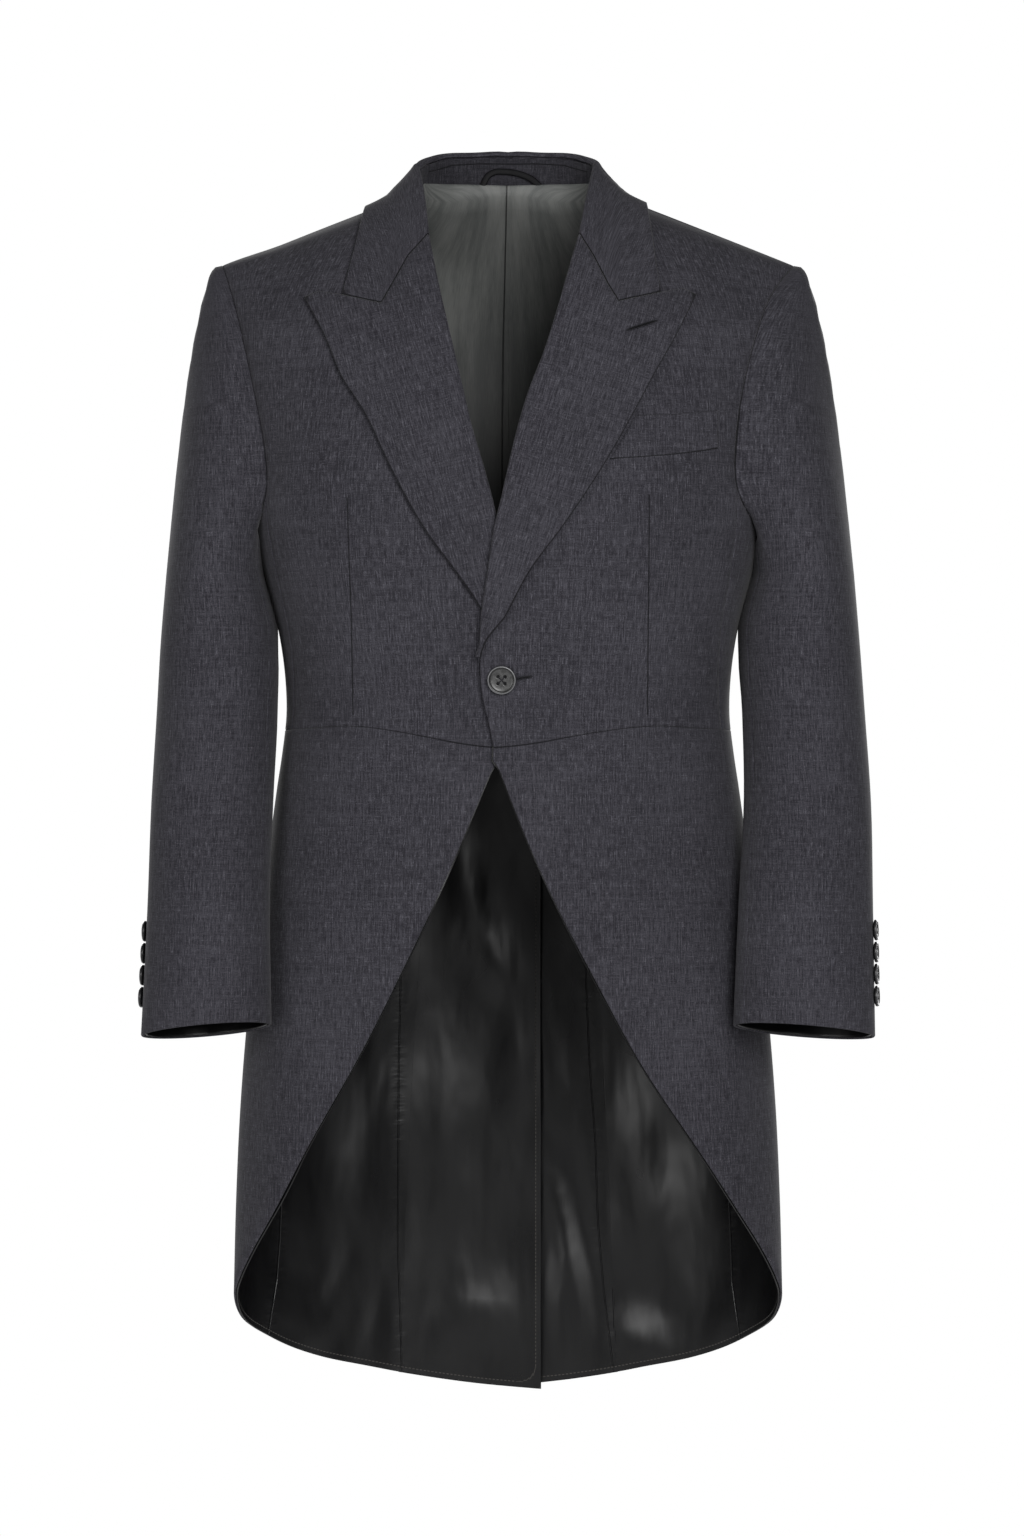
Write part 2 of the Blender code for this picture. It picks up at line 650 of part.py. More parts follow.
def sleeve_grid(side):
    """The whole sleeve, a row at a time from armhole to cuff, round from the hind seam by the top
    sleeve to the forearm seam and back under the arm."""
    shares = [0, *SLEEVE_HEAD_SHARES, 1]
    heights = SLEEVE["height"][-2::-1]
    top_around = round_steps(HIND_SEAM_TOP - 360, FOREARM_SEAM_AT)
    under_around = round_steps(FOREARM_SEAM_AT, HIND_SEAM_TOP)[1:-1]
    count = len(shares) + len(heights)
    rows = []
    for row in range(count):
        hind = hind_seam_at(row / (count - 1))
        over = np.interp(top_around, (HIND_SEAM_TOP - 360, FOREARM_SEAM_AT),
                         (hind - 360, FOREARM_SEAM_AT))
        below = np.interp(under_around, (FOREARM_SEAM_AT, HIND_SEAM_TOP), (FOREARM_SEAM_AT, hind))
        around = np.mod(np.concatenate([over, below]), 360)
        if row < len(shares):
            rows.append(sleeve_head(side, np.full_like(around, shares[row]), around))
        else:
            rows.append(sleeve_ring(side, heights[row - len(shares)], around))
        if row == 0:
            armhole_around = around
    return np.array(rows), armhole_around, len(top_around)


def sleeve_inward(side, grid, armhole_around):
    """Unit directions into the sleeve. Round the armhole they lie in the plane of the body's edge."""
    down = np.gradient(grid, axis=0)
    over = np.roll(grid, -1, axis=1) - np.roll(grid, 1, axis=1)
    inward = unit(np.cross(down, over)) * side
    spots = armhole_spots(side, armhole_around)
    leaving = unit(np.cross(form_normal(side, spots[..., 0], spots[..., 1]), over[0]))
    inward[0] = unit(inward[0] - leaving * np.sum(inward[0] * leaving, axis=-1, keepdims=True))
    return inward


def make_sleeve(side):
    name = side_name(side)
    grid, armhole_around, top_columns = sleeve_grid(side)
    inside = grid + sleeve_inward(side, grid, armhole_around) * CLOTH
    total = grid.shape[1]
    pieces = {"top_sleeve": (0, top_columns), "under_sleeve": (top_columns - 1, total + 1)}
    for piece, (first, end) in pieces.items():
        picks = np.arange(first, end) % total
        outer, inner = grid[:, picks], inside[:, picks]
        moves = seam_moves(outer, ("top",)) * ARMHOLE_GAP + seam_moves(outer, ("left", "right"))
        wall(f"{piece}_{name}", outer + moves, inner + moves, CLOTH_FINISH)
    make_cuff_lining(side)


def make_cuff_lining(side):
    around = round_steps(0, 360 - ROUND_STEP)
    mouth = SLEEVE["height"][0]
    heights = np.linspace(mouth + CUFF_LINING_DEPTH, mouth + CUFF_LINING_SET_BACK, CUFF_LINING_ROWS + 1)
    rings = np.array([sleeve_ring(side, height, around) for height in heights])
    inward = unit(rings.mean(axis=1, keepdims=True) - rings)
    outer = rings + inward * (CLOTH + CUFF_LINING_GAP)
    wall(f"cuff_lining_{side_name(side)}", outer, outer + inward * SATIN, BLACK_FINISH, closed=True)


def rolled(flat, thick, side):
    """The outer and inner faces of a piece that turns back at its first column: a half round
    roll, then the flat part."""
    normal = grid_normals(flat) * side
    start = flat[:, 0]
    across = unit(flat[:, 1] - start)
    out = normal[:, 0]
    across = unit(across - out * np.sum(across * out, axis=1, keepdims=True))
    faces = []
    for radius, lift in ((ROLL_OUTER, thick), (ROLL_OUTER - thick, 0)):
        turned = []
        for degrees in ROLL_ANGLES:
            over = ROLL_CENTRE[0] + radius * math.cos(math.radians(degrees))
            up = ROLL_CENTRE[1] + radius * math.sin(math.radians(degrees))
            turned.append(start + across * over + out * up)
        spread = flat[:, 1:] + normal[:, 1:] * lift
        faces.append(np.concatenate([np.stack(turned, axis=1), spread], axis=1))
    return faces


def gorge_spots(side, last):
    heights = np.array(GORGE["height"][:last + 1])
    return spot(side, np.array(GORGE[side_name(side)][:last + 1]), heights)


def make_lapel(side, rows=13):
    name = side_name(side)
    top = gorge_spots(side, len(GORGE["height"]) - 1)
    shares = np.linspace(0, 1, rows) ** LAPEL_ROW_CURVE
    low = LAPEL_EDGE["height"][0]
    roll_heights = GORGE["height"][0] + shares * (low - GORGE["height"][0])
    edge_heights = GORGE["height"][-1] + shares * (low - GORGE["height"][-1])
    edge_across = (column(LAPEL_EDGE, name, edge_heights)
                   + LAPEL_FOOT_WIDER * shares**LAPEL_FOOT_CURVE)
    bottom_across = np.linspace(column(FRONT_EDGE, name, low), edge_across[-1], len(top))
    roll = front_edge_spots(side, roll_heights)
    edge = spot(side, edge_across, edge_heights)
    bottom = spot(side, bottom_across, np.full(len(top), low))
    roll[0], roll[-1] = top[0], bottom[0]
    edge[0], edge[-1] = top[-1], bottom[-1]
    flat = form(side, patch(roll, edge, top, bottom), LAID_ON_GAP)
    outer, inner = rolled(flat, LAPEL_CLOTH, side)
    moves = seam_moves(outer, ("top",)) * GORGE_GAP
    wall(f"lapel_{name}", outer + moves, inner + moves, CLOTH_FINISH)


def collar_borders(side, rows):
    """The fold and the outer edge of half the collar, centre back to gorge, as spots in front of
    the shoulder with the arch below zero behind it, and the fold's rise."""
    name = side_name(side)
    fold, edge = [], []
    for k, across in enumerate(COLLAR["fold"]):
        fold.append(over_shoulder(across, COLLAR["fold_arch"][k]))
        edge.append(over_shoulder(COLLAR["edge"][k], COLLAR["edge_arch"][k]))
    gorge = gorge_spots(side, NOTCH)
    fold.append(gorge[0])
    edge.extend(spot(side, np.array(COLLAR_EDGE_FRONT[name]), np.array(COLLAR_EDGE_FRONT["height"])))
    edge.append(gorge[-1])
    shares = np.linspace(0, 1, rows)
    fold_line = through(fold, shares)
    steps = np.linalg.norm(np.diff(np.array(fold), axis=0), axis=1)
    along = np.concatenate([[0], np.cumsum(steps)]) / steps.sum()
    rise = smooth(along, [*COLLAR["rise"], 0], shares)
    return fold_line, through(edge, shares), rise, gorge


def over_shoulder(across, arch):
    height = shoulder_line(across) - drop_of(abs(arch))
    turn = math.degrees(math.asin(across / float(column(BODY, "half_width", height))))
    return np.array([turn, arch])


def half_collar(side, rows=12):
    fold, edge, rise, gorge = collar_borders(side, rows)
    start = patch(fold[:2], edge[:2], np.linspace(fold[0], edge[0], NOTCH + 1),
                  np.linspace(fold[1], edge[1], NOTCH + 1))[0]
    spots = patch(fold, edge, start, gorge)
    flat = form(side, spots, LAID_ON_GAP)
    over = np.linspace(1, 0, NOTCH + 1)[None] ** FALL_CURVE
    clearance = FALL_CLEARANCE * np.linspace(1, 0, rows)[:, None]
    flat[..., 2] += clearance + rise[:, None] * over
    return flat


def make_collar():
    halves = []
    for side in (-1, 1):
        outer, inner = rolled(half_collar(side), LAPEL_CLOTH, side)
        moves = seam_moves(outer, ("bottom",)) * GORGE_GAP
        halves.append((outer + moves, inner + moves))
    (right_outer, right_inner), (left_outer, left_inner) = halves
    for left_face, right_face in ((left_outer, right_outer), (left_inner, right_inner)):
        left_face[0] = (left_face[0] + right_face[0]) / 2
        left_face[0][:, 0] = 0
    outer = np.concatenate([right_outer[:0:-1], left_outer])
    inner = np.concatenate([right_inner[:0:-1], left_inner])
    wall("collar", outer, inner, CLOTH_FINISH)


def stand_line(side, shares):
    """The foot of the stand round half the neck, and its height there."""
    fold = [over_shoulder(COLLAR["fold"][k], COLLAR["fold_arch"][k]) for k in range(STAND_LAST + 1)]
    steps = np.linalg.norm(np.diff(np.array(fold), axis=0), axis=1)
    along = np.concatenate([[0], np.cumsum(steps)]) / steps.sum()
    foot = form(side, through(fold, shares))
    return foot, smooth(along, COLLAR["rise"][:STAND_LAST + 1], shares)


def make_stand(rows=10, levels=3):
    halves = []
    for side in (-1, 1):
        foot, rise = stand_line(side, np.linspace(0, 1, rows))
        inward = -foot * (1, 1, 0)
        inward[:, 1] += STAND_CENTRE
        inward = unit(inward)
        up = np.linspace(0, 1, levels + 1)
        height = STAND_FOOT + (rise[:, None] - STAND_FOOT - STAND_HEAD) * up[None]
        lean = STAND_LEAN * np.sin(up * math.pi / 2)
        face = foot[:, None] + inward[:, None] * lean[None, :, None]
        face[..., 2] += height
        halves.append((face, face + inward[:, None] * CLOTH))
    (right_out, right_in), (left_out, left_in) = halves
    outer = np.concatenate([right_out[:0:-1], left_out])
    inner = np.concatenate([right_in[:0:-1], left_in])
    wall("collar_stand", outer, inner, STAND_FINISH)


def make_welt(columns=4):
    corners = spot(1, np.array(WELT["left"]), np.array(WELT["height"]))
    top = np.linspace(corners[0], corners[1], columns + 1)
    bottom = np.linspace(corners[3], corners[2], columns + 1)
    spots = np.stack([top, (top + bottom) / 2, bottom])
    panel("welt_pocket", 1, spots, (), top=WELT_GAP + LAPEL_CLOTH, thick=LAPEL_CLOTH)


def make_loop():
    across = np.array(LOOP["across"], float)
    foot, _ = stand_line(1, np.linspace(0, 1, 40))
    depth = np.interp(np.abs(across), foot[:, 0], foot[:, 1]) - CLOTH - STAND_LEAN - LOOP_GAP
    line = np.stack([across, depth, np.array(LOOP["height"], float)], axis=-1)
    along = unit(np.gradient(line, axis=0))
    side_way = unit(np.cross(along, np.array([0.0, 1.0, 0.0])))
    strip = np.stack([line - side_way * LOOP_WIDTH / 2, line + side_way * LOOP_WIDTH / 2], axis=1)
    wall("hanger_loop", strip, strip - np.array([0, LOOP_THICK, 0]), TAPE_FINISH)


def seat_matrix(centre, normal):
    turned = Vector(normal).to_track_quat("Z", "Y").to_matrix().to_4x4()
    return Matrix.Translation(Vector(centre) * MM) @ turned


def turned_disc(name, seat, rim, profile, segments):
    """A button turned from its profile, standing on its seat."""
    bm = bmesh.new()
    rings = []
    for inward, height in zip(profile["inward"], profile["height"]):
        radius = rim - inward
        ring = []
        for k in range(segments):
            angle = 2 * math.pi * k / segments
            point = Vector((radius * math.cos(angle), radius * math.sin(angle), height)) * MM
            ring.append(bm.verts.new(seat @ point))
        rings.append(ring)
    for low, high in zip(rings, rings[1:]):
        for k in range(segments):
            j = (k + 1) % segments
            bm.faces.new((low[k], low[j], high[j], high[k]))
    bm.faces.new(rings[0])
    bm.faces.new(rings[-1])
    return add_object(name, bm, BUTTON_FINISH)


def drill_button(button, seat):
    """Four holes through the front button."""
    bm = bmesh.new()
    for x in (-1, 1):
        for y in (-1, 1):
            at = Vector((x * BUTTON_HOLE_SPREAD, y * BUTTON_HOLE_SPREAD, 0)) * MM
            bmesh.ops.create_cone(bm, cap_ends=True, segments=8, radius1=BUTTON_HOLE_RADIUS * MM,
                                  radius2=BUTTON_HOLE_RADIUS * MM, depth=BUTTON_HOLE_DEPTH * MM,
                                  matrix=seat @ Matrix.Translation(at))
    cutter = add_object("button_hole_cutter", bm, BUTTON_FINISH)
    cutter.hide_render = True
    cutter.display_type = "WIRE"
    cut = button.modifiers.new("holes", "BOOLEAN")
    cut.operation = "DIFFERENCE"
    cut.solver = "EXACT"
    cut.object = cutter


def make_front_button():
    across, height = FRONT_BUTTON_AT
    at = spot(1, across, height)
    seat = seat_matrix(form(1, at, BUTTON_SEAT), form_normal(1, at[0], at[1]))
    button = turned_disc("front_button", seat, FRONT_BUTTON_RADIUS, FRONT_BUTTON_PROFILE,
                         FRONT_BUTTON_SEGMENTS)
    drill_button(button, seat)


def make_cuff_buttons(side):
    name = side_name(side)
    around = CUFF_BUTTON_AROUND[name]
    for k, height in enumerate(CUFF_BUTTON_HEIGHTS):
        here = sleeve_ring(side, height, around)
        round_way = sleeve_ring(side, height, around + 2.0) - here
        down_way = sleeve_ring(side, height - 4.0, around) - here
        normal = unit(np.cross(round_way, down_way))
        normal = normal * np.sign(normal[0] * side)
        seat = seat_matrix(here + normal * BUTTON_SEAT, normal)
        turned_disc(f"cuff_button_{name}_{k + 1}", seat, CUFF_BUTTON_RADIUS, CUFF_BUTTON_PROFILE,
                    CUFF_BUTTON_SEGMENTS)


def main():
    clear_scene()
    for side in (-1, 1):
        make_body(side)
        make_sleeve(side)
        make_lapel(side)
        make_cuff_buttons(side)
    make_collar()
    make_stand()
    make_welt()
    make_loop()
    make_front_button()


main()
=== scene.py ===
import math

import bpy
import numpy as np
from mathutils import Matrix, Vector


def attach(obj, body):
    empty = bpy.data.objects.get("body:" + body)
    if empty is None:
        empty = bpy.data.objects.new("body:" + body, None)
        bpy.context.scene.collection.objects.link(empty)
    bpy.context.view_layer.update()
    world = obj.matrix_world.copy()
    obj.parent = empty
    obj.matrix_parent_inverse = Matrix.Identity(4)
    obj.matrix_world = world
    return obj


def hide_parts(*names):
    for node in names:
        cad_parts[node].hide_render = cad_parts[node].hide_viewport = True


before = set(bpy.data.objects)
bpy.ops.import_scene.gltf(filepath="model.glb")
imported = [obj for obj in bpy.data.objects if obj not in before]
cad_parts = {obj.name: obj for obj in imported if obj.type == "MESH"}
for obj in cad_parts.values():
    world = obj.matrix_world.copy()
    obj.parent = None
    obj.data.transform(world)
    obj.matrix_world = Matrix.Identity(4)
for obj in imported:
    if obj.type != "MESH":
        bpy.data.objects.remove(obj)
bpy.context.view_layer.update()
print("frame loaded:", len(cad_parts), "nodes")

mm = 0.001
fine = 5  # how many times finer than the solids each cloth grid is
farOff = 99.0  # a mark's value where nothing is drawn, and a way along that has no end
rimRow = 1.0  # a shell's extra row lies this far inside each border
edgeLineWide = 0.7  # a line along an edge reaches this far in before it fades
clothThick, lapelThick, satinThick = 2.0, 1.5, 1.0
seamGap, liningSeamGap, liningGap, laidOnGap, weltLift, cuffLiningGap = -0.5, -1.6, 0.3, 1.7, 0.8, 1.0

# the coat's form: half width, depth in front and behind, where the front's middle lies, squareness
body = {
    "height": (-970, -880, -800, -720, -640, -560, -480, -440, -412, -382, -352,
               -300, -262, -225, -170, -110, -54, 0, 50),
    "halfWidth": (221.5, 219.7, 218, 214.5, 208, 198, 186, 180, 177, 178, 182,
                  195, 203, 207, 214, 223, 232, 236, 240),
    "front": (128, 126, 124, 123, 122, 121, 119, 118, 118, 121, 125,
              131, 133, 131, 121, 106, 86, 70, 60),
    "back": (130, 128, 126, 123, 119, 112, 103, 98, 95, 97, 101,
             109, 115, 119, 121, 117, 104, 85, 80),
    "centre": (0, 0, -5, -10.5, -10.5, -10.5, -10, -9, -7, -5.5, -7,
               -9, -10, -10, -8, -6, -4, -2, 0),
    "square": (2.0, 2.0, 2.0, 2.0, 2.0, 2.1, 2.2, 2.3, 2.3, 2.3, 2.3,
               2.3, 2.3, 2.3, 2.3, 2.3, 2.3, 2.3, 2.3),
}
shoulder = {"top": -7.2, "edgeAt": 113.6, "slope": 0.40, "neckEase": 30.0, "arch": 118.0,
            "rightDrop": 2.6, "dropFrom": 62.0, "dropTo": 226.0}
frontEdge = {
    "height": (-450, -440, -420, -400, -382, -355, -332, -304, -270, -247, -224,
               -192, -165, -137, -105, -72, -38, -15, 9),
    "right": (8, 3, -4, -9, -10, -7, -3, 3, 10.5, 15.5, 21.5,
              31, 37, 43.5, 51, 58, 64.5, 68.5, 72.5),
    "left": (-8.4, -10.8, -14.7, -19.5, -21.5, -20, -17, -13, -7.5, -2, 3,
             10.5, 18.5, 29, 39, 48, 57.5, 64.5, 72.5),
}
lapelEdge = {
    "height": (-368, -352, -334, -300, -267, -224, -175, -151, -117, -84),
    "right": (-1, 7, 17, 41, 65, 89, 112.7, 128, 142, 159),
    "left": (-20.8, -13, -3, 17, 42, 71, 99, 111.5, 130.6, 147),
}
gorge = {
    "height": (-38, -53, -77, -90.5, -82.5, -79, -84),
    "right": (64.5, 78, 91, 98.5, 129.5, 148, 159),
    "left": (57.5, 66.5, 78, 86, 119.3, 137, 147),
}
notchAt = 4
neck = {
    "fold": (0, 24, 47, 64, 72.5, 71, 68.5),
    "foldArch": (-29, -28, -24, -13, 0, 13, 24),
    "rise": (23.5, 25.6, 27.9, 22.1, 16, 9, 4.5),
    "edge": (0, 36, 70, 97, 110.5, 112, 113.5),
    "edgeArch": (-43, -42, -37, -22, 0, 14, 26),
}
collarFront = {"height": (-35, -58), "right": (119, 124), "left": (113.5, 116)}
armhole = {
    "around": (0, 18, 40, 64, 86, 108, 130, 153, 180, 207, 232, 256, 280, 304, 328, 346, 360),
    "drop": (0, 33, 72, 116, 154, 190, 210, 218, 219.7, 218, 205, 175, 135, 94, 47, 18, 0),
    "right": (228, 218.5, 209.5, 200.5, 193.5, 190, 193, 199, 203,
              201.5, 199.5, 199, 200, 204, 214, 222.5, 228),
    "left": (228, 209.5, 196.5, 186, 181, 179, 184, 195, 203,
             201.5, 199.5, 199, 200, 204, 214, 222.5, 228),
}
sideFrontSeamAt, backSeamAt = 120, 285
sleeve = {
    "height": (-660.5, -560, -480, -410, -352, -300),
    "rightOuter": (288, 284, 282, 279, 276.5, 272.5),
    "rightInner": (185.5, 187.6, 185.5, 183, 184.2, 197),
    "leftOuter": (287.5, 287, 287, 283.5, 280, 276),
    "leftInner": (176.3, 181.5, 186.5, 186, 184.2, 197),
    "depth": (86, 98, 108, 116, 124, 132),
    "rightMiddle": (-75, -59, -44, -26, -14, -8),
    "leftMiddle": (-85, -68, -46, -26, -14, -8),
}
waistSeam = {
    "turn": (-10, 0, 9, 18, 27, 40, 60, 90, 130, 180),
    "height": (-437, -438, -435, -430, -425.5, -421.6, -423, -424, -420, -418),
}
sideFrontWaist = 73
backSeam = {"height": (-418, -370, -300, -240), "turn": (162, 157, 143, 128)}
tailSeamHem = 156
skirtEdge = {
    "turn": (-3, 0, 2.2, 4.5, 11.2, 20.6, 31, 42.5, 56, 68, 79, 90,
             100, 117, 128, 136, 149, 158, 172, 180, 190),
    "height": (-450, -450, -466, -485, -540, -610, -680, -740, -800, -835, -860, -877,
               -894, -914, -927, -935, -945, -952, -960, -963, -966),
}
skirtRows = (0, 0.037, 0.07, 0.2, 0.35, 0.51, 0.68, 0.84, 1)
vent = {"lap": 27.0, "dip": 4.6, "start": -420.0, "run": 20.0, "ease": 70.0, "full": 4.0, "pastMiddle": 2.0}
underlapDepth = {
    "height": (-520, -470, -450, -420, -385, -340, -270, -200),
    "depth": (0, 3.4, 5.0, 5.4, 6.6, 7.2, 7.2, 7.2),
}


def smooth(keys, values, at):
    keys, values = np.asarray(keys, float), np.asarray(values, float)
    if keys[0] > keys[-1]:
        keys, values = keys[::-1], values[::-1]
    slopes = np.gradient(values, keys)
    at = np.clip(np.asarray(at, float), keys[0], keys[-1])
    k = np.clip(np.searchsorted(keys, at) - 1, 0, len(keys) - 2)
    span = keys[k + 1] - keys[k]
    t = (at - keys[k]) / span
    rise = values[k + 1] - values[k]
    start, end = slopes[k] * span, slopes[k + 1] * span
    return values[k] + t * (start + t * (3 * rise - 2 * start - end + t * (start + end - 2 * rise)))


def column(table, name, at, key="height"):
    return smooth(table[key], table[name], at)


def ease(share):
    share = np.clip(share, 0, 1)
    return share * share * (3 - 2 * share)


def lengthsAlong(points):
    steps = np.linalg.norm(np.diff(points, axis=0), axis=-1)
    return np.concatenate([[0], np.cumsum(steps)])


def through(points, shares):
    points = np.asarray(points, float)
    along = lengthsAlong(points)
    return np.stack([smooth(along / along[-1], points[:, k], shares) for k in range(points.shape[1])], axis=-1)


def unit(vectors):
    return vectors / np.linalg.norm(vectors, axis=-1, keepdims=True)


def finer(values, times):
    steps = np.linspace(0, len(values) - 1, (len(values) - 1) * times + 1)
    return np.interp(steps, np.arange(len(values)), values)


def shoulderLine(across):
    ease0 = math.hypot(shoulder["edgeAt"], shoulder["neckEase"])
    return shoulder["top"] - shoulder["slope"] * (np.hypot(across, shoulder["neckEase"]) - ease0)


def dropOf(arch):
    low = shoulder["arch"] * (1 - np.cos(np.radians(np.minimum(arch, 90))))
    return low + shoulder["arch"] * np.radians(np.maximum(arch - 90, 0))


def archOf(drop):
    drop = np.maximum(drop, 0) / shoulder["arch"]
    return np.degrees(np.arccos(1 - np.minimum(drop, 1))) + np.degrees(np.maximum(drop - 1, 0))


def bareForm(side, turn, arch):
    turn, arch = np.broadcast_arrays(np.asarray(turn, float), np.asarray(arch, float))
    turn = np.where(arch < 0, 180 - turn, turn)
    arch = np.abs(arch)
    sine, cosine = np.sin(np.radians(turn)), np.cos(np.radians(turn))
    drop = dropOf(arch)
    across = body["halfWidth"][0] * sine
    for _ in range(8):
        height = shoulderLine(across) - drop
        across = column(body, "halfWidth", height) * sine
    square = column(body, "square", height)
    fullness = np.maximum(1 - np.abs(sine) ** square, 0) ** (1 / square)
    fullness = fullness * np.sin(np.radians(np.minimum(arch, 90)))
    depth = np.where(cosine > 0, -column(body, "front", height), column(body, "back", height))
    centre = column(body, "centre", height) * np.where(cosine > 0, cosine**2, 0)
    if side < 0:
        drop = ease((across - shoulder["dropFrom"]) / 40) * ease((shoulder["dropTo"] - across) / 50)
        height = height - shoulder["rightDrop"] * drop * ease((height + 150) / 100)
    return np.stack([side * across + centre, depth * fullness, height], axis=-1)


def formNormal(side, turn, arch, step=0.25):
    overWay = bareForm(side, turn + step, arch) - bareForm(side, turn - step, arch)
    downWay = bareForm(side, turn, arch + step) - bareForm(side, turn, arch - step)
    return unit(np.cross(downWay, overWay)) * side


def underlap(points):
    height = points[..., 2]
    past = points[..., 0] - column(frontEdge, "left", height) + 40.0
    inFront = np.where(points[..., 1] < 0, 1.0, 0.0)
    return column(underlapDepth, "depth", height) * ease(past / 32.0) * inFront


def ventDip(points):
    past = points[..., 0] + vent["pastMiddle"] + vent["ease"] + vent["full"]
    down = ease((vent["start"] - points[..., 2]) / vent["run"])
    behind = np.where(points[..., 1] > 0, 1.0, 0.0)
    return vent["dip"] * ease(past / vent["ease"]) * down * behind


def form(side, spots, out=0.0):
    turn, arch = spots[..., 0], spots[..., 1]
    points = bareForm(side, turn, arch)
    if side < 0:
        out = out - underlap(points) - ventDip(points)
    out = np.broadcast_to(out, points.shape[:-1])
    return points + formNormal(side, turn, arch) * out[..., None]


def spot(side, across, height, back=False):
    across, height = np.broadcast_arrays(np.asarray(across, float), np.asarray(height, float))
    halfWidth = column(body, "halfWidth", height)
    centre = side * column(body, "centre", height)
    local = across
    if not back:
        for _ in range(8):
            turn = np.arcsin(np.clip(local / halfWidth, -1, 1))
            local = across - centre * np.cos(turn) ** 2
    turn = np.degrees(np.arcsin(np.clip(local / halfWidth, -1, 1)))
    return np.stack([180 - turn if back else turn, archOf(shoulderLine(local) - height)], axis=-1)


def levelSpot(turn, height):
    turn, height = np.broadcast_arrays(np.asarray(turn, float), np.asarray(height, float))
    across = column(body, "halfWidth", height) * np.sin(np.radians(turn))
    return np.stack([turn, archOf(shoulderLine(across) - height)], axis=-1)


def patch(left, right, top, bottom):
    down = np.linspace(0, 1, len(left))[:, None, None]
    over = np.linspace(0, 1, len(top))[None, :, None]
    sides = (1 - over) * left[:, None] + over * right[:, None]
    ends = (1 - down) * top[None] + down * bottom[None]
    corners = ((1 - down) * ((1 - over) * top[0] + over * top[-1])
               + down * ((1 - over) * bottom[0] + over * bottom[-1]))
    return sides + ends - corners


def gridNormals(grid):
    return unit(np.cross(np.gradient(grid, axis=0), np.gradient(grid, axis=1)))


def seamMoves(grid, seams, gap=seamGap):
    moves = np.zeros_like(grid)
    borders = {"top": (0, 1, 0), "bottom": (-1, -2, 0), "left": (0, 1, 1), "right": (-1, -2, 1)}
    for name in seams:
        edge, inside, axis = borders[name]
        border = np.take(grid, edge, axis=axis)
        inward = np.take(grid, inside, axis=axis) - border
        along = unit(np.gradient(border, axis=0))
        inward = unit(inward - along * np.sum(inward * along, axis=1, keepdims=True))
        if axis == 0:
            moves[edge] += inward * gap / 2
        else:
            moves[:, edge] += inward * gap / 2
    return moves


# creases: start across and height, end across and height, sideways bend, width, depth
def creased(across, height, creases):
    out = np.zeros_like(across)
    for x0, z0, x1, z1, bend, width, depth in creases:
        run = np.array([x1 - x0, z1 - z0], float)
        length = np.hypot(*run)
        run = run / length
        share = ((across - x0) * run[0] + (height - z0) * run[1]) / length
        off = (across - x0) * run[1] - (height - z0) * run[0] - bend * 4 * share * (1 - share)
        fade = np.sin(np.pi * np.clip(share, 0, 1)) ** 0.7
        out = out + depth * fade * np.exp(-(off / width) ** 2)
    return out


def lineGap(across, height, line):
    # how far points lie from a line of (across, height) points, run on past its ends, and how far inside those
    line = np.asarray(line, float)
    nearest = np.full(across.shape, np.inf)
    gap, along = np.zeros(across.shape), np.zeros(across.shape)
    start = 0.0
    for k in range(len(line) - 1):
        (x0, z0), (x1, z1) = line[k], line[k + 1]
        dx, dz = x1 - x0, z1 - z0
        length = math.hypot(dx, dz)
        share = ((across - x0) * dx + (height - z0) * dz) / length**2
        held = np.clip(share, -np.inf if k == 0 else 0, np.inf if k == len(line) - 2 else 1)
        off = np.hypot(across - x0 - held * dx, height - z0 - held * dz)
        closer = off < nearest
        nearest = np.where(closer, off, nearest)
        gap = np.where(closer, ((across - x0) * dz - (height - z0) * dx) / length, gap)
        along = np.where(closer, start + share * length, along)
        start += length
    return gap, np.minimum(along, start - along)


def lineMarks(points, lines):
    marks = {}
    for k, line in enumerate(lines, 1):
        marks[f"line{k}"], marks[f"reach{k}"] = lineGap(points[..., 0], points[..., 2], line)
    return marks


def borderMarks(points, borders):
    # distance from the nearest of the named borders, and the way along it, for a row of stitches
    acrossWay, downWay = waysAlong(points)
    gaps = {"left": (acrossWay, downWay), "right": (acrossWay[:, -1:] - acrossWay, downWay),
            "top": (downWay, acrossWay), "bottom": (downWay[-1:] - downWay, acrossWay)}
    stitch, along = np.full(points.shape[:2], 10 * farOff), np.zeros(points.shape[:2])
    for border in borders:
        gap, way = gaps[border]
        closer = gap < stitch
        stitch, along = np.where(closer, gap, stitch), np.where(closer, way, along)
    return {"stitch": stitch, "stitchRun": along}


def edgeLine(points, borders):
    # a dark line right on the named borders: a seam where a border is sewn, painted shade where it is a free
    # edge
    gap = np.maximum(borderMarks(points, borders)["stitch"] - edgeLineWide, 0)
    return {"line1": gap, "reach1": np.full_like(gap, farOff)}


def waysAlong(points):
    acrossWay = np.cumsum(np.linalg.norm(np.diff(points, axis=1), axis=-1), axis=1)
    downWay = np.cumsum(np.linalg.norm(np.diff(points, axis=0), axis=-1), axis=0)
    return np.pad(acrossWay, ((0, 0), (1, 0))), np.pad(downWay, ((1, 0), (0, 0)))


def roundWay(across, deep, halfWidth, halfDepth):
    # length round an oval from its front middle, so that the threads hang straight down
    turn = np.arctan2(across / halfWidth, -deep / halfDepth)
    turn = np.where(turn < -math.pi / 2, turn + 2 * math.pi, turn)
    steps = np.linspace(-math.pi, 2 * math.pi, 721)
    lengths = np.cumsum(np.hypot(halfWidth * np.cos(steps), halfDepth * np.sin(steps))) * (steps[1] - steps[0])
    return np.interp(turn, steps, lengths)


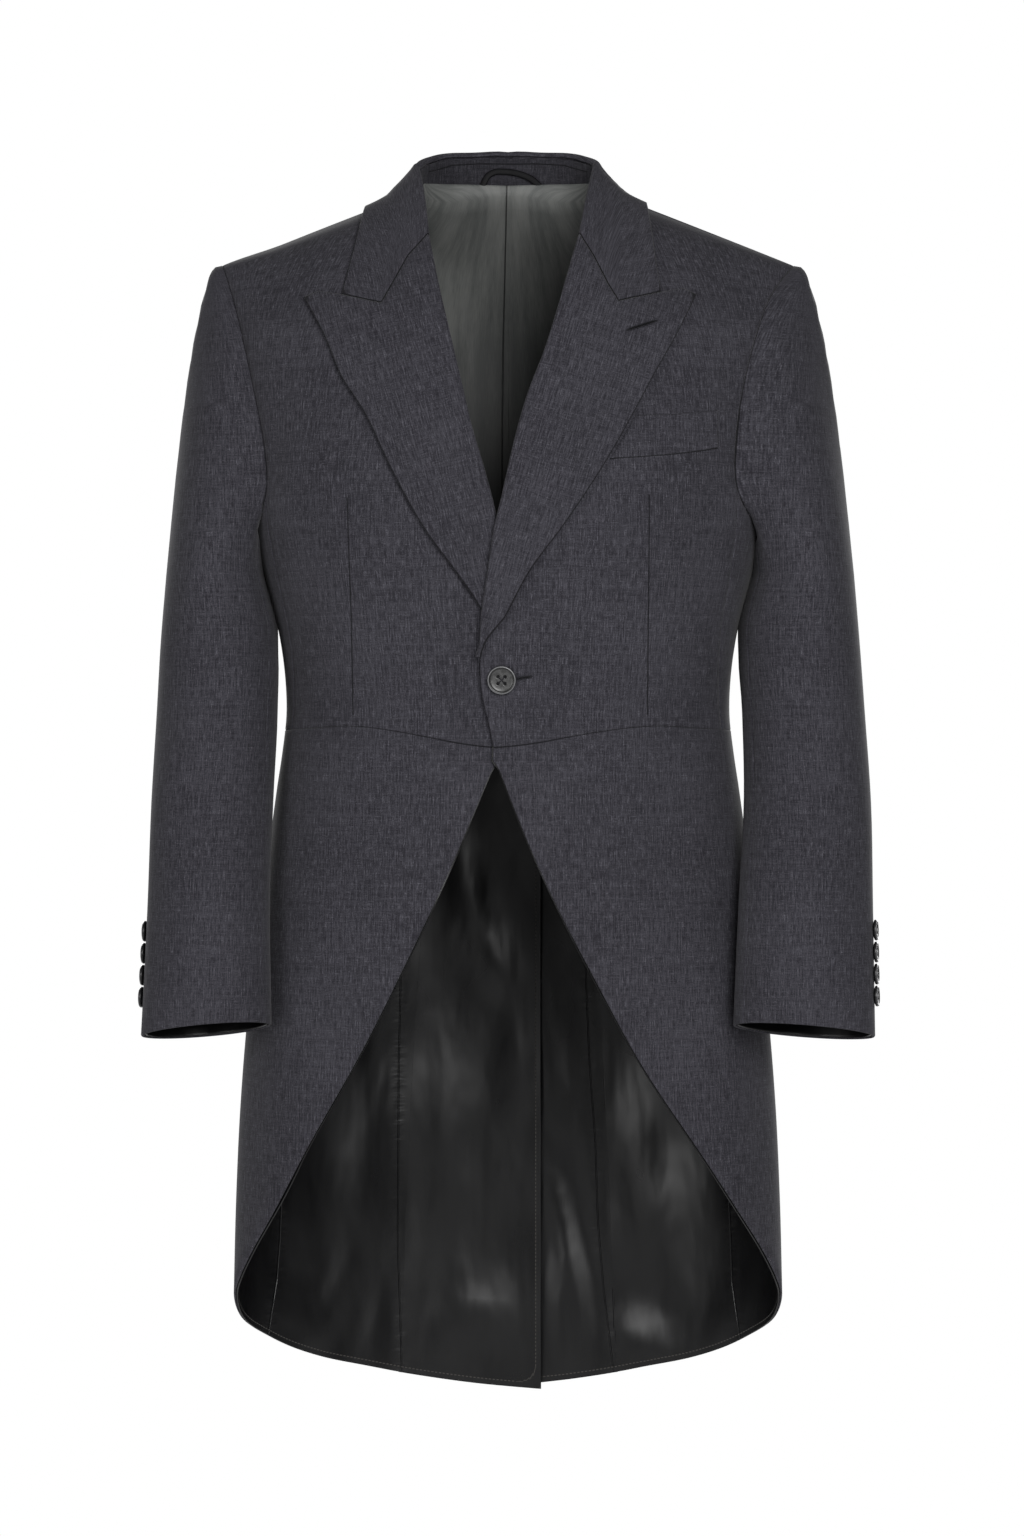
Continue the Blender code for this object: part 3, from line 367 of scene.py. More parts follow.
def bodyWeave(side, points):
    drop = np.maximum(shoulderLine(np.abs(points[..., 0])) - points[..., 2], 1.0)
    arch = np.radians(archOf(drop))
    levelDepth = points[..., 1] / np.sin(np.minimum(arch, math.pi / 2))
    along = roundWay(side * points[..., 0], levelDepth, 212.0, 121.0)
    return np.stack([along, points[..., 2] + drop - shoulder["arch"] * arch], axis=-1)


def edgeRow(grid):
    # one more row close to each border, so that its turned edge stays tight
    for axis in (0, 1):
        grid = np.moveaxis(grid, axis, 0)
        for _ in range(2):
            step = np.linalg.norm(grid[1, ..., :3] - grid[0, ..., :3], axis=-1, keepdims=True)
            share = np.minimum(rimRow / step, 0.5)
            grid = np.concatenate([grid[:1], grid[:1] + (grid[1:2] - grid[:1]) * share[None], grid[1:]])[::-1]
        grid = np.moveaxis(grid, 0, axis)
    return grid


def meshPiece(name, points, faces, material):
    mesh = bpy.data.meshes.new(name)
    mesh.from_pydata(points, [], faces)
    mesh.shade_smooth()
    mesh.materials.append(material)
    piece = bpy.data.objects.new(name, mesh)
    bpy.context.scene.collection.objects.link(piece)
    return piece, mesh


def setMark(mesh, key, values):
    mesh.attributes.new(key, "FLOAT", "POINT").data.foreach_set("value", values)


# the mark "deep" holds how much painted shade darkens a point, 0 where none is painted
markDefaults = {"line1": farOff, "reach1": 0.0, "line2": farOff, "reach2": 0.0,
                "stitch": farOff, "stitchRun": 0.0, "deep": 0.0}


def shell(name, outer, inner, material, weave=None, marks=None, closed=False, roundness=0.6):
    # outer and inner: grids of points; weave: flat coordinates in mm; marks: named values per point
    rows, columns = outer.shape[:2]
    marks = dict(marks or {})
    if weave is None:
        acrossWay, downWay = waysAlong(outer)
        weave = np.stack([acrossWay - acrossWay[:, columns // 2:columns // 2 + 1], -downWay], axis=-1)
    packed = np.concatenate([outer, inner, weave] + [marks[k][..., None] for k in sorted(marks)], axis=-1)
    if closed:
        packed = np.concatenate([packed, packed[:, :1]], axis=1)
    packed = edgeRow(packed)
    rows, columns = packed.shape[:2]
    outer, inner = packed[..., :3], packed[..., 3:6]
    border = np.zeros((rows, columns), bool)
    border[[0, -1]] = True
    if not closed:
        border[:, [0, -1]] = True
    dip = np.where(border[..., None], (inner - outer) * roundness / 2, 0)
    skins = np.concatenate([(outer + dip).reshape(-1, 3), (inner - dip).reshape(-1, 3)])
    index = np.arange(rows * columns).reshape(rows, columns)
    quads = np.stack([index[:-1, :-1], index[1:, :-1], index[1:, 1:], index[:-1, 1:]], axis=-1).reshape(-1, 4)
    shift = rows * columns
    ring = [np.stack([index[0, :-1], index[0, 1:], index[0, 1:] + shift, index[0, :-1] + shift], axis=-1),
            np.stack([index[-1, 1:], index[-1, :-1], index[-1, :-1] + shift, index[-1, 1:] + shift], axis=-1)]
    if not closed:
        ring += [np.stack([index[1:, 0], index[:-1, 0], index[:-1, 0] + shift, index[1:, 0] + shift], axis=-1),
                 np.stack([index[:-1, -1], index[1:, -1], index[1:, -1] + shift, index[:-1, -1] + shift], -1)]
    faces = np.concatenate([quads, quads[:, ::-1] + shift, *ring])
    if closed:
        seamTo = np.arange(2 * shift)
        for skin in (0, shift):
            seamTo[index[:, -1] + skin] = index[:, 0] + skin
        faces = seamTo[faces]
    piece, mesh = meshPiece(name, (skins * mm).tolist(), faces.tolist(), material)
    mesh.validate()
    if volumeOf(skins, faces) < 0:
        mesh.flip_normals()
    flat = np.tile(packed[..., 6:8].reshape(-1, 2), (2, 1)) * mm
    corners = np.empty(len(mesh.loops), int)
    mesh.loops.foreach_get("vertex_index", corners)
    layer = mesh.uv_layers.new(name="weave")
    layer.data.foreach_set("uv", flat[corners].ravel())
    for k, key in enumerate(sorted(marks)):
        setMark(mesh, key, np.tile(packed[..., 8 + k].ravel(), 2))
    for key, value in markDefaults.items():
        if key not in marks:
            setMark(mesh, key, np.full(len(skins), value))
    if roundness == 0:  # a square edge keeps its shading off the two faces
        for polygon in mesh.polygons[2 * len(quads):]:
            polygon.use_smooth = False
    return piece


def volumeOf(points, faces):
    a, b, c, d = (points[faces[:, k]] for k in range(4))
    return float(np.sum(a * np.cross(b, c)) + np.sum(a * np.cross(c, d)))


def tube(name, path, radius, material, outward, closed=False, sides=8):
    path = np.asarray(path, float)
    steps = np.roll(path, -1, axis=0) - np.roll(path, 1, axis=0) if closed else np.gradient(path, axis=0)
    along = unit(steps)
    sideWay = unit(np.cross(along, outward))
    upWay = np.cross(sideWay, along)
    angle = np.linspace(0, 2 * math.pi, sides, endpoint=False)[None, :, None]
    rings = path[:, None] + radius * (np.cos(angle) * sideWay[:, None] + np.sin(angle) * upWay[:, None])
    count, faces = len(path), []
    for r in range(count if closed else count - 1):
        for k in range(sides):
            j, q = (k + 1) % sides, (r + 1) % count
            faces.append((r * sides + k, q * sides + k, q * sides + j, r * sides + j))
    if not closed:
        faces += [tuple(range(sides)), tuple((count - 1) * sides + k for k in range(sides - 1, -1, -1))]
    piece, _ = meshPiece(name, (rings.reshape(-1, 3) * mm).tolist(), faces, material)
    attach(piece, "root")


def place(piece, slot, node):
    first, *rest = node.split("_")
    piece.name = first + "".join(word.capitalize() for word in rest)
    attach(piece, "root")
    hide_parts(node)


def flatSize(grid):
    # width, length and area in metres of a grid of points
    acrossWay = np.linalg.norm(np.diff(grid, axis=1), axis=-1).sum(axis=1).max()
    downWay = np.linalg.norm(np.diff(grid, axis=0), axis=-1).sum(axis=0).max()
    a, b = grid[1:, 1:] - grid[:-1, :-1], grid[1:, :-1] - grid[:-1, 1:]
    area = np.linalg.norm(np.cross(a, b), axis=-1).sum() / 2
    return acrossWay * mm, downWay * mm, area * mm * mm


def asSheet(grid):
    width, length, area = flatSize(grid)
    area = min(max(area, 0.3 * width * length), width * length)
    round(area * 0.9999, 5)


def sewn(node, outer, inner, material, slot, held="hung", **more):
    piece = shell(node, outer, inner, material, **more)
    place(piece, slot, node)
    allRound = np.concatenate([outer, outer[:, :1]], axis=1)
    asSheet(allRound if more.get("closed") else (outer + inner) / 2)


class Wire:  # a shader socket that takes plain arithmetic
    def __init__(self, paint, socket):
        self.paint, self.socket = paint, socket

    def calc(self, operation, *values):
        inputs = dict(enumerate(values))
        return Wire(self.paint, self.paint.node("ShaderNodeMath", {"operation": operation}, inputs).outputs[0])

    def __add__(self, other):
        return self.calc("ADD", self, other)

    def __radd__(self, other):
        return self.calc("ADD", other, self)

    def __sub__(self, other):
        return self.calc("SUBTRACT", self, other)

    def __rsub__(self, other):
        return self.calc("SUBTRACT", other, self)

    def __mul__(self, other):
        return self.calc("MULTIPLY", self, other)

    def __rmul__(self, other):
        return self.calc("MULTIPLY", other, self)

    def __abs__(self):
        return self.calc("ABSOLUTE", self)

    def wave(self, period):
        return self.calc("SINE", self * (2 * math.pi / period))


class Paint:
    def __init__(self, name):
        self.material = bpy.data.materials.new(name)
        self.material.use_nodes = True
        self.tree = self.material.node_tree
        self.shader = self.tree.nodes["Principled BSDF"]

    def node(self, kind, settings=None, inputs=None):
        made = self.tree.nodes.new(kind)
        for key, value in (settings or {}).items():
            setattr(made, key, value)
        for key, value in (inputs or {}).items():
            self.put(made.inputs[key], value)
        return made

    def put(self, socket, value):
        if isinstance(value, Wire):
            self.tree.links.new(value.socket, socket)
        else:
            socket.default_value = value

    def finish(self, **values):
        names = {"baseColor": "Base Color", "roughness": "Roughness", "normal": "Normal",
                 "specular": "Specular IOR Level", "sheen": "Sheen Weight", "sheenRoughness": "Sheen Roughness"}
        for key, value in values.items():
            self.put(self.shader.inputs[names[key]], value)
        return self.material

    def mark(self, name):
        return Wire(self, self.node("ShaderNodeAttribute", {"attribute_name": name}).outputs["Fac"])

    def flat(self):
        return Wire(self, self.node("ShaderNodeUVMap", {"uv_map": "weave"}).outputs["UV"])

    def place(self):
        return Wire(self, self.node("ShaderNodeTexCoord").outputs["Object"])

    def stretch(self, vector, scale):
        made = self.node("ShaderNodeVectorMath", {"operation": "MULTIPLY"}, {0: vector, 1: scale})
        return Wire(self, made.outputs[0])

    def noise(self, vector, scale, detail=2.0, rough=0.5):
        made = self.node("ShaderNodeTexNoise", {"noise_dimensions": "3D"},
                         {"Vector": self.stretch(vector, scale), "Scale": 1.0, "Detail": detail,
                          "Roughness": rough})
        return Wire(self, made.outputs["Fac"])

    def fade(self, value, low, high):
        made = self.node("ShaderNodeMapRange", {"interpolation_type": "SMOOTHSTEP"},
                         {"Value": value, "From Min": low, "From Max": high})
        return Wire(self, made.outputs["Result"])

    def mix(self, share, first, second):
        made = self.node("ShaderNodeMix", {"data_type": "RGBA"},
                         {"Factor": share, 6: colour(first), 7: colour(second)})
        return Wire(self, made.outputs[2])

    def bump(self, height, distance, strength=1.0, under=None):
        inputs = {"Height": height, "Distance": distance, "Strength": strength}
        if under is not None:
            inputs["Normal"] = under
        return Wire(self, self.node("ShaderNodeBump", {}, inputs).outputs["Normal"])


def colour(value):
    if isinstance(value, Wire):
        return value
    return tuple(((c / 255 + 0.055) / 1.055) ** 2.4 if c > 10 else c / 255 / 12.92 for c in value) + (1.0,)


def drawnLines(paint, halfWidth):
    # how far a point lies in one of the two lines that a piece may carry
    drawn = 0.0
    for k in "12":
        ends = paint.fade(paint.mark("reach" + k), -0.6, 0.6)
        drawn = drawn + (1 - paint.fade(abs(paint.mark("line" + k)), halfWidth * 0.3, halfWidth)) * ends
    return drawn


def stitches(paint, inset, length, halfWidth=0.35):
    row = 1 - paint.fade(abs(paint.mark("stitch") - inset), halfWidth * 0.4, halfWidth)
    return row * paint.fade(paint.mark("stitchRun").wave(length), -0.5, 0.1)


# "groove" is the colour of seam lines and stitches, and of the painted shade under the arms
worstedLook = {
    "dark": (33, 32, 37), "light": (60, 59, 65), "fleck": (94, 93, 100), "groove": (11, 11, 13),
    "slub": (1050, 120, 1), "longSlub": (900, 30, 1), "cross": (120, 1100, 1),
    "grain": (1150, 1000, 1), "cloud": (13, 9, 1), "weft": (14, 420, 1),
    "rough": 0.9, "specular": 0.12, "sheen": 0.06, "lineWidth": 0.75, "stitchInset": 3.4, "stitchLength": 3.0,
}


def worsted(name, look, shade=1.0):
    paint = Paint(name)
    flat = paint.flat()
    slub, longSlub = paint.noise(flat, look["slub"], 2.0, 0.6), paint.noise(flat, look["longSlub"], 2.0, 0.6)
    cross, grain = paint.noise(flat, look["cross"], 2.0, 0.6), paint.noise(flat, look["grain"], 1.0)
    cloud = paint.noise(flat, look["cloud"], 2.0)
    tone = 0.3 * slub + 0.24 * longSlub + 0.16 * cross + 0.22 * grain + 0.08 * cloud
    dark, light, fleck = ([c * shade for c in look[key]] for key in ("dark", "light", "fleck"))
    tone = tone + 0.1 * (paint.noise(flat, look["weft"], 2.0) - 0.5)
    flecks = paint.fade(slub * 0.75 + grain * 0.25, 0.56, 0.7)
    flecks = flecks + 0.7 * paint.fade(cross * 0.75 + grain * 0.25, 0.58, 0.72)
    base = paint.mix(paint.fade(tone, 0.4, 0.6), dark, light)
    base = paint.mix(flecks * 0.42, base, fleck)
    # painted shade: the mark "deep" darkens the cloth under the arms
    base = paint.mix(paint.mark("deep") * 0.85, base, look["groove"])
    line = drawnLines(paint, look["lineWidth"])
    stitch = stitches(paint, look["stitchInset"], look["stitchLength"])
    base = paint.mix(line * 0.8, base, look["groove"])
    base = paint.mix(stitch * 0.3, base, look["groove"])
    weaveBump = paint.bump(slub * 0.5 + grain * 0.5 + cross * 0.3, 0.00012, 0.5)
    lineBump = paint.bump(1 - line - stitch * 0.5, 0.0004, 0.7, weaveBump)
    return paint.finish(baseColor=base, roughness=look["rough"], specular=look["specular"], sheen=look["sheen"],
                        sheenRoughness=0.5, normal=lineBump)


# "deep" is the colour that painted shade darkens a lining towards
satinLook = {
    "black": {"dark": (4, 4, 5), "light": (9, 9, 10), "deep": (3, 3, 4), "rough": 0.3, "specular": 0.3,
              "fold": 0.012, "pucker": 0.00022, "band": 4.6, "streak": (34, 12, 1)},
    "grey": {"dark": (74, 76, 75), "light": (104, 105, 103), "deep": (3, 3, 3), "rough": 0.5, "specular": 0.2,
             "fold": 0.003, "pucker": 0.0002, "band": 0.0, "streak": (75, 9, 1)},
}


def satin(name, look):
    paint = Paint(name)
    flat = paint.flat()
    thread = paint.noise(flat, (1400, 90, 1), 2.0)
    cloud = paint.noise(flat, (15, 9, 1), 3.0)
    streak = paint.noise(flat, look["streak"], 2.0)
    tone = 0.3 * cloud + 0.25 * thread + 0.45 * streak
    base = paint.mix(paint.fade(tone, 0.34, 0.66), look["dark"], look["light"])
    # painted shade: the mark "deep" darkens the grey back lining towards the waist
    base = paint.mix(paint.mark("deep"), base, look["deep"])
    line, stitch = drawnLines(paint, 0.8), stitches(paint, look["band"], 3.2, 0.55)
    base = paint.mix(line * 0.8, base, (4, 4, 5))
    band = 1 - paint.fade(paint.mark("stitch"), look["band"] - 0.4, look["band"] + 0.2)
    base = paint.mix(band * 0.7, base, (4, 4, 5))
    base = paint.mix(stitch * 0.6, base, (74, 71, 67))
    # short ripples where a seam draws the satin in, longest next to the seam
    pucker = 0.0
    for k in "12":
        near = 1 - paint.fade(abs(paint.mark("line" + k)), 0.3, 9.0)
        uneven = paint.noise(flat, (40, 120, 1), 2.0)
        pucker = pucker + near * paint.fade(uneven, 0.3, 0.7) * paint.fade(paint.mark("reach" + k), -0.6, 0.6)
    wrinkle = paint.noise(flat, (13, 7, 1), 1.0, 0.4)
    folds = paint.bump(wrinkle + streak * 0.2, look["fold"], 0.6)
    puckered = paint.bump(pucker, look["pucker"], 0.8, folds)
    lineBump = paint.bump(1 - line - band * 0.4, 0.0006, 0.8, paint.bump(thread, 0.00004, 0.4, puckered))
    return paint.finish(baseColor=base, roughness=look["rough"] + 0.2 * (cloud - 0.5) + band * 0.06,
                        specular=look["specular"], normal=lineBump)


# "rim" is the colour of a painted highlight on the rim; "groove" is the colour of painted shade in the groove,
# round the edge and in the holes
hornLook = {"dark": (38, 38, 38), "light": (58, 58, 58), "rim": (100, 100, 102), "groove": (5, 5, 6),
            "rough": 0.36}


def horn(look):
    # the mark "stitch" holds how far a point lies from the middle, in shares of the radius
    paint = Paint("horn")
    spots = paint.noise(paint.place(), (420, 420, 420), 3.0)
    base = paint.mix(paint.fade(spots, 0.35, 0.65), look["dark"], look["light"])
    out = paint.mark("stitch")
    # painted highlight: a lighter ring on top of the rim
    base = paint.mix(paint.fade(out, 0.89, 0.92), base, look["rim"])
    # painted shade: dark on the inner slope of the rim, round the outer edge and underside, and in the holes
    dark = (1 - paint.fade(abs(out - 0.84), 0.035, 0.06)) + paint.fade(out, 0.955, 0.98) + paint.mark("deep")
    base = paint.mix(dark * 0.95, base, look["groove"])
    return paint.finish(baseColor=base, roughness=look["rough"] + 0.1 * (spots - 0.5),
                        normal=paint.bump(spots, 0.00004, 0.4))


def plain(name, dark, light, rough, scale=400, bumpDeep=0.00008, specular=0.12):
    paint = Paint(name)
    spots = paint.noise(paint.place(), (scale, scale, scale), 3.0)
    base = paint.mix(paint.fade(spots, 0.35, 0.65), dark, light)
    return paint.finish(baseColor=base, roughness=rough, specular=specular,
                        normal=paint.bump(spots, bumpDeep, 0.5))


cloth = worsted("worsted", worstedLook)
# a darker copy of the worsted for the collar stand, as painted shade inside the neck
shadeCloth = worsted("worstedShade", worstedLook, 0.8)
blackSatin = satin("blackSatin", satinLook["black"])
greySatin = satin("greySatin", satinLook["grey"])
buttonHorn = horn(hornLook)
threadStuff = plain("buttonholeThread", (16, 16, 18), (46, 45, 50), 0.8, 2500)
# near-black tape for the hanger loop, also the painted shade in the buttonhole slits
tape = plain("tape", (5, 5, 6), (15, 15, 17), 0.6, 1600)
print("materials made")


def sideName(side):
    return "left" if side > 0 else "right"


def armholeSpots(side, around):
    around = np.asarray(around, float)
    across = column(armhole, sideName(side), around, "around")
    height = shoulderLine(across) - column(armhole, "drop", around, "around")
    front, rear = spot(side, across, height), spot(side, across, height, back=True)
    spots = np.where((around <= 180)[..., None], front, rear)
    spots[..., 1] = np.where((around == 0) | (around == 360), 0, spots[..., 1])
    return spots


def roundSteps(start, end):
    return np.linspace(start, end, int(round((end - start) / 15 * fine)) + 1)


def waistSpots(turns):
    return levelSpot(turns, column(waistSeam, "height", turns, "turn"))


def sideFrontSeam(side):
    start, end = armholeSpots(side, [sideFrontSeamAt])[0], waistSpots(np.array([sideFrontWaist]))[0]
    return through([start, (start + end) / 2 + (-1.0, 0), end], np.linspace(0, 1, 6 * fine + 1))


def backSeamSpots(side):
    start = armholeSpots(side, [backSeamAt])[0]
    lower = levelSpot(backSeam["turn"], backSeam["height"])[::-1]
    lower[-1] = waistSpots(np.array([backSeam["turn"][0]]))[0]
    return through([start, *lower], np.linspace(0, 1, 6 * fine + 1))


def neckSpots(count):
    shares, keys = np.linspace(0, 1, count), np.linspace(0, 1, 5)
    across, arch = smooth(keys, neck["fold"][:5], shares), -smooth(keys, neck["foldArch"][:5], shares)
    height = shoulderLine(across) - dropOf(arch)
    return np.stack([180 - np.degrees(np.arcsin(across / column(body, "halfWidth", height))), arch], axis=-1)


def shoulderSpots(start, end, count):
    across = np.linspace(start, end, count)
    turn = np.degrees(np.arcsin(across / column(body, "halfWidth", shoulderLine(across))))
    return np.stack([turn, np.zeros(count)], axis=-1)


def frontSpots(side):
    rim = armholeSpots(side, roundSteps(0, sideFrontSeamAt))
    outside = np.concatenate([rim, sideFrontSeam(side)[1:]])
    columns = 8 * fine
    top = shoulderSpots(neck["fold"][4], armhole["left"][0], columns + 1)
    shares = np.linspace(0, 1, len(outside)) ** 0.85
    edgeTop, edgeEnd = frontEdge["height"][-1], column(waistSeam, "height", 0, "turn")
    heights = edgeTop + shares * (edgeEnd - edgeTop)
    edge = spot(side, column(frontEdge, sideName(side), heights), heights)
    edge[0], outside[0] = top[0], top[-1]
    bottom = waistSpots(edge[-1][0] + (sideFrontWaist - edge[-1][0]) * np.linspace(0, 1, columns + 1))
    edge[-1] = bottom[0]
    return patch(edge, outside, top, bottom)


def sideBodySpots(side):
    top = armholeSpots(side, roundSteps(sideFrontSeamAt, backSeamAt))
    turns = np.linspace(sideFrontWaist, backSeam["turn"][0], len(top))
    return patch(sideFrontSeam(side), backSeamSpots(side), top, waistSpots(turns))


def skirtEdgeHeight(turn):
    return column(skirtEdge, "height", turn, "turn")


def heightAt(place):
    return bareForm(1, place[0], place[1])[2]


def backSpots(side):
    upperNeck = neckSpots(3 * fine + 1)
    top = shoulderSpots(neck["fold"][4], armhole["left"][0], 4 * fine + 1)
    top[:, 0] = 180 - top[:, 0]
    top = np.concatenate([upperNeck[:-1], top])
    rim = armholeSpots(side, roundSteps(backSeamAt, 360))[::-1]
    outside = np.concatenate([rim, backSeamSpots(side)[1:]])
    outside[0] = top[-1]
    waist = waistSpots(np.linspace(180, backSeam["turn"][0], len(top)))
    centre = levelSpot(180, np.linspace(shoulderLine(0) - dropOf(-neck["foldArch"][0]),
                                        column(waistSeam, "height", 180, "turn"), len(outside)))
    centre[0], centre[-1] = top[0], waist[0]
    upper = patch(centre, outside, top, waist)

    shares = finer(skirtRows, fine)
    seamTop, seamLow = heightAt(outside[-1]), skirtEdgeHeight(tailSeamHem)
    seam = levelSpot(np.linspace(backSeam["turn"][0], tailSeamHem, len(shares)),
                     seamTop + (seamLow - seamTop) * shares)
    seam[0] = waist[-1]
    past = -vent["pastMiddle"] if side > 0 else -vent["lap"]
    lap = past * ease(np.linspace(-1, 1, len(shares)) * (len(skirtRows) - 1) / 2 + (len(skirtRows) - 1) / 2 - 1)
    hemTurns = np.linspace(180 - math.degrees(past / body["halfWidth"][0]), tailSeamHem, len(top))
    hem = levelSpot(hemTurns, skirtEdgeHeight(hemTurns))
    middleTop, middleLow = heightAt(waist[0]), skirtEdgeHeight(hemTurns[0])
    heights = middleTop + (middleLow - middleTop) * shares
    middle = levelSpot(180 - np.degrees(np.arcsin(lap / column(body, "halfWidth", heights))), heights)
    middle[0], middle[-1] = waist[0], hem[0]
    return upper, patch(middle, seam, waist, hem)


def skirtSpots(side):
    turns = np.concatenate([frontSpots(side)[-1, :, 0], sideBodySpots(side)[-1, 1:, 0]])
    asAbove = (turns - turns[0]) / (turns[-1] - turns[0])
    lowTurns = turns[0] + (tailSeamHem - turns[0]) * (0.35 * np.linspace(0, 1, len(turns)) + 0.65 * asAbove)
    shares = finer(skirtRows, fine)[:, None]
    topHeight = column(waistSeam, "height", turns, "turn")[None]
    lowHeight = skirtEdgeHeight(lowTurns)[None]
    grid = levelSpot(turns[None] * (1 - shares) + lowTurns[None] * shares,
                     topHeight + (lowHeight - topHeight) * shares)
    grid[0] = waistSpots(turns)
    seamTop, seamLow = heightAt(grid[0, -1]), skirtEdgeHeight(tailSeamHem)
    grid[1:, -1] = levelSpot(np.linspace(backSeam["turn"][0], tailSeamHem, len(shares)),
                             seamTop + (seamLow - seamTop) * shares[:, 0])[1:]
    return grid


panelLook = {
    "dart": {"right": ((-125, -244), (-122, -339), (-121, -413)),
             "left": ((110, -242), (109.5, -324), (109, -413))},
    "weltLine": ((79.5, -214.5), (164.3, -204)),
    "centreSeam": ((-0.9, 20), (-2.5, -42), (-4.1, -107), (-4.9, -188), (-5.0, -430)),
    "tailSeam": {
        "right": ((-86, -430), (-88, -612), (-90, -695), (-91, -843), (-87.5, -952), (-86.5, -985)),
        "left": ((60, -430), (64, -620), (67, -695), (72, -761),
                 (74, -827), (79, -885), (87, -951), (91, -985)),
    },
    "sideSeam": {
        "right": ((-182, -430), (-184.6, -797), (-186.2, -838), (-188.7, -871), (-194.4, -907), (-200, -950)),
        "left": ((178, -430), (180.4, -806), (182, -838), (182.9, -871), (188.6, -914), (194, -950)),
    },
    "neckLine": {"across": (0, 24, 47, 64, 73), "height": (15.4, 16.0, 15.8, 14.4, 12.6),
                 "inward": 3.0, "under": 4.0, "end": 74.0, "taper": 7.0},
    # fade: how much painted shade darkens the grey back lining at each height, more towards the waist
    "fade": {"height": (-280, -235, -190, -120, -60, 0, 20), "share": (1, 0.9, 0.62, 0.38, 0.12, 0, 0)},
    "frontCreases": {
        "right": ((-150, -150, -140, -330, 12, 16, -1.2), (-20, -392, -110, -352, 6, 10, 0.9),
                  (-25, -372, -95, -300, -8, 13, -0.8), (-126, -236, -121, -262, 0, 9, -0.8),
                  (-165, -120, -185, -240, 5, 9, -1.4)),
        "left": ((150, -150, 142, -330, -12, 16, -1.2), (22, -392, 100, -350, -6, 10, 0.9),
                 (24, -372, 90, -300, 8, 13, -0.8), (110, -234, 109, -262, 0, 9, -0.8),
                 (168, -120, 180, -240, -5, 9, -1.4)),
    },
    "skirtCreases": {
        "right": ((-150, -440, -175, -930, 6, 26, 1.8), (-100, -450, -150, -760, 8, 22, -1.4),
                  (-190, -470, -205, -930, 4, 16, -1.6)),
        "left": ((150, -440, 178, -930, -6, 26, 1.8), (100, -450, 152, -760, -8, 22, -1.4),
                 (190, -470, 205, -930, -4, 16, -1.6)),
    },
    "backCreases": {
        "right": ((-60, -90, -150, -180, 8, 20, -1.3), (-150, -240, -90, -400, -6, 18, 1.1),
                  (-50, -460, -75, -930, 5, 18, 1.9), (-20, -430, -30, -940, 3, 12, -1.2)),
        "left": ((60, -90, 150, -180, -8, 20, -1.3), (150, -240, 90, -400, 6, 18, 1.1),
                 (50, -460, 75, -930, -5, 18, 1.9), (22, -430, 34, -940, -3, 12, -1.2)),
    },
    "neckFolds": {
        "right": ((-62, 12, -52, -60, 2, 6, -1.0), (-44, 14, -38, -80, -3, 7, -1.3),
                  (-28, 14, -24, -50, 2, 6, -0.8), (-34, -40, -22, -190, 5, 12, -1.6)),
        "left": ((30, 14, 28, -60, 2, 6, -0.8), (46, 14, 42, -90, -2, 7, -1.2),
                 (62, 12, 58, -70, 2, 6, -1.2), (38, -48, 62, -56, -1, 3, -1.6)),
    },
    # satin folds: start across and height, end across and height, bend, width, depth into the coat
    "satinFolds": {
        "right": ((-40, -505, -4, -640, 6, 15, -4.6), (-14, -590, 12, -745, -6, 13, -4.0),
                  (-48, -640, -40, -900, 10, 18, -2.8), (-70, -930, 8, -905, -12, 12, -4.4),
                  (-112, -700, -124, -880, 6, 17, -3.0), (-130, -840, -170, -930, -10, 12, -3.2),
                  (-98, -860, -112, -950, 5, 9, -2.4), (-160, -760, -172, -880, 5, 13, -2.6),
                  (-56, -800, -80, -930, 6, 11, -1.8), (-196, -880, -150, -935, -6, 8, -2.2)),
        "left": ((28, -780, 64, -945, -7, 10, -4.8), (46, -840, 50, -960, 4, 9, -3.0),
                 (30, -560, 46, -760, 6, 14, -2.6), (84, -900, 160, -925, 14, 12, -3.2),
                 (160, -925, 184, -880, 6, 9, -2.6),
                 (96, -720, 112, -880, -7, 17, -2.8), (130, -780, 150, -900, 6, 14, -2.4),
                 (60, -700, 84, -880, 4, 9, -1.6), (100, -940, 120, -905, 5, 8, -2.2)),
    },
}


def panel(name, side, spots, seams, material, slot, top=0.0, thick=clothThick, creases=(), marks=None,
          reshape=None, gap=seamGap, **more):
    bare = bareForm(side, spots[..., 0], spots[..., 1])
    out = creased(bare[..., 0], bare[..., 2], creases)
    outer, inner = form(side, spots, top + out), form(side, spots, top - thick + out)
    moves = seamMoves(outer, seams, gap)
    outer, inner = outer + moves, inner + moves
    if reshape:
        outer, inner = reshape(outer, inner)
    sewn(name, outer, inner, material, slot, weave=bodyWeave(side, outer), marks=marks and marks(outer), **more)


